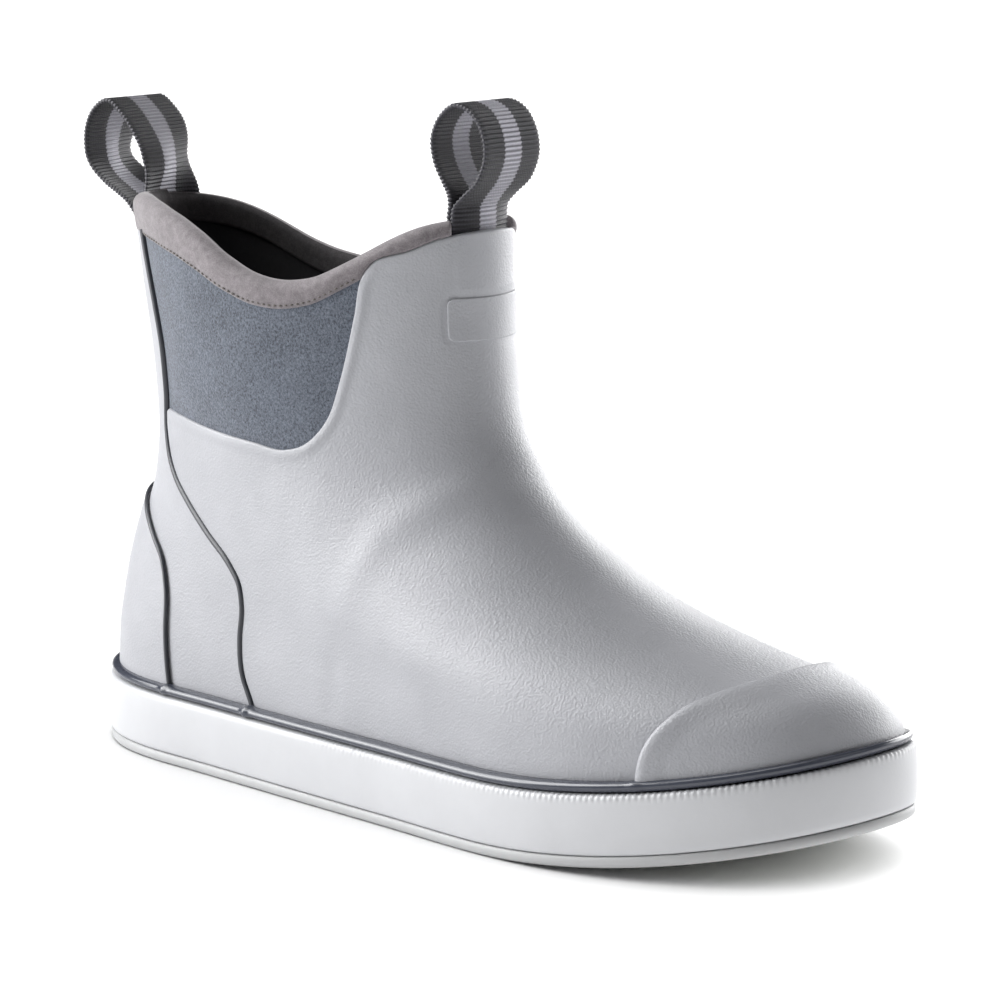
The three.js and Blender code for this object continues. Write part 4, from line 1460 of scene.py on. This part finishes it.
    def lining(self) -> bpy.types.Object:
        """Builds the fleece face of the lining, which faces into the boot."""
        def relief(points: Array, inside: Array) -> Array:
            del inside
            x, y, z = points.T
            return 0.25 * np.sin(x / 13 + z / 19) * np.sin(y / 11 + z / 23)

        return Panel(
            self.form, self.lining_distance, 24.5, 186,
            lambda p: 6.0 - self.form.above_binding(p), 0.05, 0.5, relief, -HALF_TURN, 260, 3.0,
            inward=True,
        ).build("lining_fleece")

    def footbed(self) -> bpy.types.Object:
        """Builds the removable footbed with its shallow cup."""
        plate = Plate(self.form, -7.1, 30.9, 1.8)

        def top(points: Array) -> Array:
            cup = smoothstep(plate.inset(points), 0, 22)
            return 30.9 - 1.3 * cup - 1.2 * np.clip(1 - plate.inset(points) / 1.0, 0, 1) ** 2

        return plate.build("footbed_cloth", top, skirt=25.4)

    def build(self) -> list[bpy.types.Object]:
        """Builds, dresses and places the collar's pieces.

        Returns:
            The pieces.
        """
        binding = self.paint_inner_face_shade(place(COLLAR_TRICOT.dress(self.binding()), "top_binding"))
        stitches = place(
            THREAD.dress(self.stitches()), "binding_stitching_lateral", "binding_stitching_medial"
        )
        lining = place(LINING_FLEECE.dress(self.lining()), "lining")
        footbed = place(FOOTBED_TOP.dress(self.footbed()), "footbed")
        return [binding, stitches, lining, footbed]


# --------------------------------------------------------------------------------------- the sole
@dataclass
class Plate:
    """A level plate cut to an outline of the form."""

    form: FootForm
    distance: float
    level: float
    pitch: float

    def inset(self, points: Array) -> Array:
        """Measures how far points lie inside the plate's outline."""
        return self.form.outline_inset(points, self.distance, self.level)

    def build(
        self, name: str, top: Field, skirt: float | None = None, upwards: bool = True
    ) -> bpy.types.Object:
        """Cuts the plate.

        Args:
            name: Name of the piece.
            top: Gives the height of the face at points of the plate.
            skirt: Height that the wall round the edge reaches, if there is one.
            upwards: Whether the face looks up.

        Returns:
            The new object.
        """
        xs, ys = np.arange(-152, 151, self.pitch), np.arange(-58, 60, self.pitch)
        grid_x, grid_y = np.meshgrid(xs, ys)
        points = np.stack([grid_x.ravel(), grid_y.ravel(), np.full(grid_x.size, self.level)], 1)
        columns = len(xs)
        first = (np.arange(len(ys) - 1)[:, None] * columns + np.arange(columns - 1)).ravel()
        a, b, c, d = first, first + 1, first + columns + 1, first + columns
        triangles = np.vstack([np.stack([a, b, c], 1), np.stack([a, c, d], 1)])
        value = self.inset(points)
        pairs, share, triangles = clip_triangles(triangles[value[triangles].max(1) > 0], value)
        fresh = points[pairs[:, 0]] * (1 - share[:, None]) + points[pairs[:, 1]] * share[:, None]
        old = len(points)
        points = np.vstack([points, fresh])
        used, triangles = np.unique(triangles, return_inverse=True)
        triangles = triangles.reshape(-1, 3)
        points, cut = points[used], used >= old
        points[:, 2] = top(points)
        if skirt is not None:
            edges = np.vstack([triangles[:, [0, 1]], triangles[:, [1, 2]], triangles[:, [2, 0]]])
            seen = {(int(p), int(q)) for p, q in edges[cut[edges].all(1)]}
            border = np.array([(p, q) for p, q in seen if (q, p) not in seen])
            rim, local = np.unique(border, return_inverse=True)
            local = local.reshape(-1, 2)
            lower = points[rim].copy()
            lower[:, 2] = skirt
            low = np.arange(len(points), len(points) + len(rim))
            points = np.vstack([points, lower])
            p, q = rim[local[:, 0]], rim[local[:, 1]]
            r, s = low[local[:, 0]], low[local[:, 1]]
            triangles = np.vstack([triangles, np.stack([q, p, r], 1), np.stack([q, r, s], 1)])
        if not upwards:
            triangles = triangles[:, ::-1]
        return make_object(name, points, triangles, self.form)


@dataclass
class Sole:
    """The cupped deck sole: tread, foxing band, bead and kick tab."""

    form: FootForm
    rim_distance: float = 4.2
    rim_height: float = 3.5
    tread_inset: float = -4.5
    groove_depth: float = 1.5
    groove_width: float = 2.0
    groove_pitch: float = 11.0
    zigzag: float = 2.5
    band_distance: float = 4.5
    band_low: float = 3.7
    band_top: float = 22.3
    bead_low: float = 22.5
    bead_high: float = 25.8
    bead_distance: float = 3.8
    knurl_pitch: float = 1.9
    knurl_depth: float = 0.42

    def tread(self) -> bpy.types.Object:
        """Builds the underside with its zigzag siping."""
        plate = Plate(self.form, self.tread_inset, 0.5, 0.9)

        def top(points: Array) -> Array:
            x, y, _ = points.T
            swing = self.zigzag * (1 - 2 * np.abs(((y / 24) + 0.5) % 1 * 2 - 1))
            sloped = math.cos(math.atan(2 * self.zigzag / 12))
            gap = np.full_like(x, 99.0)
            for first, last in ((-132, -33), (45, 133)):
                for middle in np.arange(first, last + 1, self.groove_pitch):
                    gap = np.minimum(gap, np.abs(x - middle - swing) * sloped)
            half = self.groove_width / 2
            field_edge = smoothstep(plate.inset(points), 0.2, 1.2)
            return self.groove_depth * (1 - smoothstep(gap, half - 0.3, half + 0.3)) * field_edge

        return plate.build("sole_tread", top, upwards=False)

    def sole_rim(self) -> bpy.types.Object:
        """Builds the edge of the outsole below the band."""
        ring = ring_round(self.form, 10, 1.6)
        turn = np.linspace(0, HALF_TURN / 2, 6)
        radius = 1.3
        section_distance = np.r_[
            self.tread_inset, 0.0, self.rim_distance - radius + radius * np.sin(turn),
            self.rim_distance, self.rim_distance - 0.5, 0.0,
        ]
        section_height = np.r_[
            0.0, 0.0, radius - radius * np.cos(turn), self.rim_height - 0.3, self.rim_height, self.rim_height,
        ]
        distance = np.repeat(section_distance[None], len(ring.angles), 0)
        height = np.repeat(section_height[None], len(ring.angles), 0)
        return ring.build("sole_edge", distance, height, closed=False)

    def band(self) -> bpy.types.Object:
        """Builds the white foxing band with its knurled top edge round the toe."""
        ring = ring_round(self.form, 15, 0.55)
        d, top = self.band_distance, self.band_top
        section_distance = np.array([
            0.3, d - 1.0, d - 0.35, d - 0.1, d + 0.05, d + 0.12, d + 0.12, d + 0.08, d, d - 0.05,
            d - 0.1, d - 0.18, d - 0.35, d - 0.7, d - 1.2, d - 2.0, 0.3,
        ])
        section_height = np.array([
            self.band_low, self.band_low, self.band_low + 0.35, self.band_low + 0.9,
            self.band_low + 2.2, 9.0, 12.5, 15.5, 17.8, 19.2, top - 2.3, top - 1.6, top - 1.0,
            top - 0.5, top - 0.2, top, top,
        ])
        distance = np.repeat(section_distance[None], len(ring.angles), 0)
        height = np.repeat(section_height[None], len(ring.angles), 0)
        x = self.form.point(ring.angles, np.full_like(ring.angles, top))[:, :1]
        run = ring.run[:-1, None]
        tooth = np.abs(((run / self.knurl_pitch) % 1) * 2 - 1) - 0.5
        zone = smoothstep(x, -38, -20)
        reach = smoothstep(height, top - 2.6, top - 1.4) * (distance > 1)
        distance = distance + self.knurl_depth * tooth * zone * reach
        height = height + 0.25 * tooth * zone * smoothstep(height, top - 0.8, top - 0.1)
        return ring.build("foxing", distance, height, closed=False)

    def bead(self) -> bpy.types.Object:
        """Builds the dark bead over the band, with a swelling where each seam runs under it."""
        ring = ring_round(self.form, 22, 1.0)
        turn = np.linspace(-HALF_TURN / 2, HALF_TURN / 2, 15)
        middle = (self.bead_low + self.bead_high) / 2
        half = (self.bead_high - self.bead_low) / 2
        bulge = np.sign(np.cos(turn)) * np.abs(np.cos(turn)) ** 0.75
        section_distance = np.r_[0.2, 0.4 + (self.bead_distance - 0.4) * bulge, 0.2]
        section_height = np.r_[self.bead_low, middle + half * np.sin(turn), self.bead_high]
        distance = np.repeat(section_distance[None], len(ring.angles), 0)
        height = np.repeat(section_height[None], len(ring.angles), 0)
        x = self.form.point(ring.angles, np.full_like(ring.angles, 24.0))[:, :1]
        for seam, size in ((-60.0, 0.9), (-101.0, 0.7), (99.6, 0.3)):
            near = np.exp(-(((x - seam) / 1.4) ** 2)) * (np.abs(x - seam) < 8)
            distance = distance + size * near * (distance > 0.5)
            height = height + size * 0.6 * near * smoothstep(height, middle, self.bead_high)
        return ring.build("foxing_cord", distance, height, closed=False)

    def kick_tab(self) -> bpy.types.Object:
        """Builds the small ledge on the heel used to push the boot off."""
        reach = 0.222
        angles = reach * np.sin(np.linspace(-HALF_TURN / 2, HALF_TURN / 2, 61))
        taper = np.sqrt(np.clip(1 - np.abs(angles / reach) ** 14, 0, 1))[:, None]
        section_distance = np.array([1.0, 3.0, 3.9, 4.2, 4.4, 3.9, 4.4, 3.9, 4.4, 4.2, 3.8, 2.9, 1.0])
        section_height = np.array(
            [47.5, 48.3, 49.2, 50.2, 51.6, 52.6, 53.6, 54.8, 56.0, 57.6, 59.0, 59.9, 60.6]
        )
        middle = 54.2
        distance = 1.0 + (section_distance[None] - 1.0) * taper
        height = middle + (section_height[None] - middle) * (0.55 + 0.45 * taper)
        corners = len(section_distance)
        points = self.form.layer(np.repeat(angles[:, None], corners, 1), height, distance)
        first = (np.arange(len(angles) - 1)[:, None] * corners + np.arange(corners - 1)).ravel()
        faces = np.stack([first, first + corners, first + corners + 1, first + 1], 1)
        return make_object("heel_kick_tab", points.reshape(-1, 3), faces, self.form)

    def build(self) -> list[bpy.types.Object]:
        """Builds, dresses and places the sole's pieces.

        Returns:
            The pieces.
        """
        tread = place(SOLE_RUBBER.dress(self.tread()), "outsole")
        # The sole's rim takes a darker copy of the tread rubber, as painted shade.
        edge = place(PAINTED_SHADE_RIM_RUBBER.dress(self.sole_rim()), "outsole")
        band = place(BAND_RUBBER.dress(self.band()), "foxing_band")
        bead = place(BEAD_RUBBER.dress(self.bead()), "foxing_bead")
        tab = place(TRIM_RUBBER.dress(self.kick_tab()), "kick_tab")
        return [tread, edge, band, bead, tab]


# ------------------------------------------------------------------------------------ pull loops
@dataclass
class PullLoop:
    """A strip of webbing sewn in at the rim and folded into a loop."""

    form: FootForm
    name: str
    joint: str
    body: str
    nodes: tuple[str, str]
    angle: float
    line: Points
    outward: float
    width: float = 25.0
    thickness: float = 1.2
    rib_pitch: float = 1.4
    rib_height: float = 0.27
    tail_depth: float = 29.0
    tail_middle: float = -3.6
    strand_gap: float = 0.75
    tail_top: float = 3.0
    bend_from: float = 1.2
    bend_to: float = 2.6
    skew: float = 0.0
    settle: float = 12.0
    step: float = 0.25
    columns: int = 15

    def centre_line(self, fold: Vector) -> Array:
        """Draws the strip's centre line on the side view, from tail end to tail end.

        Args:
            fold: Point of the joint, in metres.

        Returns:
            Points [x, z] in millimetres, evenly spaced.
        """
        start = np.array([fold.x, fold.z]) / MM
        loop = start + np.asarray(self.line, float) + (0, 0.3)
        depths = np.linspace(self.tail_depth, self.tail_top, 6)
        heights = start[1] - depths
        angle = np.full_like(heights, self.angle)
        strands = []
        for side in (-1, 1):
            at = self.form.layer(angle, heights, self.tail_middle + side * self.strand_gap * self.outward)
            strands.append(at[:, [0, 2]])
        first, last = (strands[0], strands[1]) if self.line[0][0] < 0 else (strands[1], strands[0])
        whole = np.vstack([first, loop, last[::-1]])
        line = EdgeLine([tuple(p) for p in whole]).samples
        run = np.r_[0, np.cumsum(np.linalg.norm(np.diff(line, axis=0), axis=1))]
        even = np.linspace(0, run[-1], int(run[-1] / self.step) + 1)
        return np.stack([np.interp(even, run, line[:, k]) for k in range(2)], 1)

    def build(self, fold: Vector) -> bpy.types.Object:
        """Builds the strip with its woven ribs, and bends it at the fold.

        Args:
            fold: Point of the joint, in metres.

        Returns:
            The new object.
        """
        line = self.centre_line(fold)
        run = np.r_[0, np.cumsum(np.linalg.norm(np.diff(line, axis=0), axis=1))]
        tangent = unit(np.gradient(line, axis=0))
        side = np.stack([-tangent[:, 1], tangent[:, 0]], 1)
        half = self.width / 2
        ys = np.linspace(-1, 1, self.columns)
        edge = np.linspace(-HALF_TURN / 2, HALF_TURN / 2, 5)[1:-1]
        share_y = np.r_[ys, np.ones(3), ys[::-1], -np.ones(3)]
        share_t = np.r_[np.full(self.columns, 1.0), -np.sin(edge), np.full(self.columns, -1.0), np.sin(edge)]
        beyond = np.r_[np.zeros(self.columns), np.cos(edge), np.zeros(self.columns), -np.cos(edge)]
        wave = np.cos(FULL_TURN * run / self.rib_pitch)[:, None]
        flip = np.where(share_t >= 0, 1.0, -1.0)
        thick = self.thickness / 2 * share_t + self.rib_height * wave * flip * (np.abs(share_t) > 0.9)
        scallop = 0.16 * wave * np.abs(share_y)
        y = share_y * (half - 0.45) + beyond * 0.45 + np.sign(share_y) * scallop * (np.abs(share_y) > 0.99)
        x = line[:, :1] + side[:, :1] * thick
        z = line[:, 1:] + side[:, 1:] * thick
        x = x + self.wrap(y, z, fold)
        above = z - fold.z / MM
        x = x - self.skew * np.clip(y / half, -0.2, 1) * smoothstep(above, -3, 9) * (
            1 - smoothstep(above, 9, 24)
        )
        points = np.stack([x, y, z], -1)
        count, corners = x.shape
        c = np.arange(corners)
        d = (c + 1) % corners
        first = np.arange(count - 1)[:, None] * corners
        faces = np.stack([first + c, first + d, first + corners + d, first + corners + c], -1)
        faces = faces.reshape(-1, 4)
        v = (share_y + 1) / 2
        corner_v = np.stack([v, v[d], v[d], v], -1)
        corner_u = np.stack([run[:-1], run[:-1], run[1:], run[1:]], -1)
        uv = np.stack([
            np.repeat(corner_u[:, None], corners, 1) * MM, np.repeat(corner_v[None], count - 1, 0),
        ], -1).reshape(-1, 2)
        ends = [tuple(range(corners))[::-1], tuple((count - 1) * corners + k for k in range(corners))]
        uv = np.vstack([uv, np.stack([np.zeros(2 * corners), np.tile(v, 2)], 1)])
        piece = make_object(self.name, points.reshape(-1, 3), [*faces.tolist(), *ends], self.form, uv)
        WEBBING.dress(piece)
        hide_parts(*self.nodes)
        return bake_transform(piece)

    def wrap(self, y: Array, z: Array, fold: Vector) -> Array:
        """Curves the strip round the shaft near the rim, and lets it flatten above.

        Args:
            y: Place across the strip.
            z: Height.
            fold: Point of the joint, in metres.

        Returns:
            How far each point moves along x.
        """
        height = np.minimum(z, fold.z / MM)
        spread = np.clip(np.abs(y) / 42.0, 0, 0.6)
        turn = np.arcsin(spread)
        away = self.form.point(self.angle + turn, height)[..., 0] - self.form.point(
            np.full_like(height, self.angle), height
        )[..., 0]
        fade = 1 - smoothstep(z - fold.z / MM, 0.0, self.settle)
        return away * fade


FRONT_LOOP_LINE: Points = (
    (-0.8, 0), (-0.9, 3), (-2.2, 6), (-6.5, 11), (-10, 17), (-11, 23.5), (-8, 30), (-1.5, 34.3),
    (5, 32.6), (9.8, 26.5), (11, 19.5), (8, 12), (2.8, 6), (0.9, 3), (0.8, 0),
)
BACK_LOOP_LINE: Points = (
    (1.4, -10), (1.0, -5), (0.9, 0), (1.8, 3.2), (3.0, 7.5), (2.2, 13.5), (-2, 20.5), (-7.5, 26),
    (-13.5, 29.2), (-20, 26.3), (-24.3, 20), (-25.6, 13.5), (-24.4, 7.2), (-19.4, 2.4), (-13, -0.8),
    (-8.2, -3.4), (-4.7, -6.8), (-2.4, -9.3), (-0.4, -10.7), (0.7, -12.0),
)


# ----------------------------------------------------------------------------------------- studio
@dataclass(frozen=True)
class Studio:
    """Pale floor, soft boxes and the camera."""

    azimuth: float = 42.4
    elevation: float = 11.0
    distance: float = 1.204
    target: tuple[float, float, float] = (0.0087, 0.0, 0.0958)
    focal_length: float = 138.96
    sensor: float = 36.0
    surround: float = 0.02

    def floor(self) -> bpy.types.Object:
        """Lays a wide, flat, pale floor."""
        ring = np.linspace(0, FULL_TURN, 97)[:-1]
        radii = np.array([0.0, 0.4, 1.0, 2.5, 6.0, 14.0])
        points = [(0.0, 0.0, 0.0)]
        for radius in radii[1:]:
            points += [(radius * math.cos(t), radius * math.sin(t), 0.0) for t in ring]
        faces: list[tuple[int, ...]] = [
            (0, 1 + k, 1 + (k + 1) % len(ring)) for k in range(len(ring))
        ]
        for row in range(len(radii) - 2):
            for k in range(len(ring)):
                a, b = 1 + row * len(ring) + k, 1 + row * len(ring) + (k + 1) % len(ring)
                faces.append((a, a + len(ring), b + len(ring), b))
        mesh = bpy.data.meshes.new("floor")
        mesh.from_pydata(points, [], faces)
        floor = bpy.data.objects.new("floor", mesh)
        bpy.context.scene.collection.objects.link(floor)
        paper = PressedRubber(
            "matt_backdrop_paper", "white_rubber", "#ffffff", 0.9, dark="#fdfdfd", light="#ffffff"
        )
        floor.data.materials.append(paper.material())
        return floor

    def softbox(
        self, name: str, place_at: tuple[float, float, float], size: tuple[float, float], power: float
    ) -> bpy.types.Object:
        """Hangs one rectangular soft light that faces the boot.

        Args:
            name: Name of the light.
            place_at: Where it hangs, in metres.
            size: Its width and height, in metres.
            power: Its power in watts.

        Returns:
            The light.
        """
        light = bpy.data.lights.new(name, "AREA")
        light.shape, light.size, light.size_y, light.energy = "RECTANGLE", *size, power
        lamp = bpy.data.objects.new(name, light)
        lamp.location = place_at
        lamp.rotation_euler = (Vector(self.target) - Vector(place_at)).to_track_quat("-Z", "Y").to_euler()
        bpy.context.scene.collection.objects.link(lamp)
        return lamp

    def camera(self) -> None:
        """Puts the camera where the boot is seen from its outer front corner."""
        side, up = math.radians(self.azimuth), math.radians(self.elevation)
        away = Vector((math.sin(side) * math.cos(up), -math.cos(side) * math.cos(up), math.sin(up)))
        lens = bpy.data.cameras.new("camera")
        lens.lens, lens.sensor_width = self.focal_length, self.sensor
        lens.clip_start, lens.clip_end = 0.05, 60.0
        camera = bpy.data.objects.new("camera", lens)
        camera.location = Vector(self.target) + away * self.distance
        camera.rotation_euler = (-away).to_track_quat("-Z", "Y").to_euler()
        bpy.context.scene.collection.objects.link(camera)
        bpy.context.scene.camera = camera

    def build(self) -> None:
        """Sets the whole studio."""
        self.camera()
        floor = self.floor()
        world = bpy.data.worlds.new("studio")
        world.use_nodes = True
        surround = world.node_tree.nodes["Background"]
        surround.inputs["Color"].default_value = (1.0, 1.0, 1.0, 1.0)
        surround.inputs["Strength"].default_value = self.surround
        bpy.context.scene.world = world
        gloss_light = self.softbox("gloss_softbox", (-0.98, -0.60, 1.06), (1.2, 1.2), 30.0)
        gloss_light.visible_diffuse = False
        boot_lights = (
            self.softbox("key_softbox", (-1.07, -0.99, 0.41), (0.9, 0.9), 19.0),
            self.softbox("upper_key_softbox", (-0.84, -0.78, 1.06), (0.9, 0.9), 11.0),
            self.softbox("side_softbox", (1.13, 0.25, 1.06), (0.9, 0.9), 2.2),
            self.softbox("rear_strip_softbox", (0.08, 1.47, 0.41), (1.7, 0.9), 33.0),
            self.softbox("top_softbox", (-0.55, 0.03, 1.49), (0.9, 0.9), 9.5),
            gloss_light,
        )
        sweep_light = self.softbox("floor_softbox", (1.0, 1.6, 5.0), (16.0, 16.0), 1720.0)
        floor_only = bpy.data.collections.new("floor_light_receivers")
        floor_only.objects.link(floor)
        sweep_light.light_linking.receiver_collection = floor_only
        all_but_floor = bpy.data.collections.new("boot_light_receivers")
        all_but_floor.objects.link(floor)
        all_but_floor.collection_objects[0].light_linking.link_state = "EXCLUDE"
        for lamp in boot_lights:
            lamp.light_linking.receiver_collection = all_but_floor


def dress_hidden_nodes(frame: dict) -> None:
    """Gives the sealed inner pieces their real stock."""
    for node, finish in (
        ("midsole", FOAM), ("shank", SHANK_STEEL), ("insole_board", BOARD),
        ("heel_stiffener", BOARD), ("toe_puff", BOARD),
    ):
        finish.dress(frame["nodes"][node])


def report(piece: bpy.types.Object) -> None:
    """Logs a piece's size and face count."""
    log.info("%s: %d faces, %s mm", piece.name, len(piece.data.polygons),
             [round(side / MM, 1) for side in piece.dimensions])


def main() -> None:
    """Builds the boot in order: studio, sole, upper, collar, pull loops."""
    logging.basicConfig(level=logging.INFO, format="%(message)s")
    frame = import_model()
    bpy.context.scene.view_settings.view_transform = "Standard"
    form = FootForm()
    Studio().build()
    dress_hidden_nodes(frame)
    for piece in [*Sole(form).build(), *Upper(form).build(), *Collar(form).build()]:
        report(piece)
    folds = {j["name"]: Vector(j["pos_m"]) for j in frame["record"]["behaviour"]["joints"]}
    for loop in (
        PullLoop(
            form, "front_webbing", "front_loop_fold", "front_loop",
            ("front_loop_tail", "front_pull_loop"), HALF_TURN, FRONT_LOOP_LINE, 1.0,
        ),
        PullLoop(
            form, "back_webbing", "back_loop_fold", "back_loop",
            ("back_loop_tail", "back_pull_loop"), 0.0, BACK_LOOP_LINE, -1.0,
            tail_top=14.0, bend_from=9.0, bend_to=4.0, skew=5.0,
        ),
    ):
        report(loop.build(folds[loop.joint]))


if __name__ == "__main__":
    main()
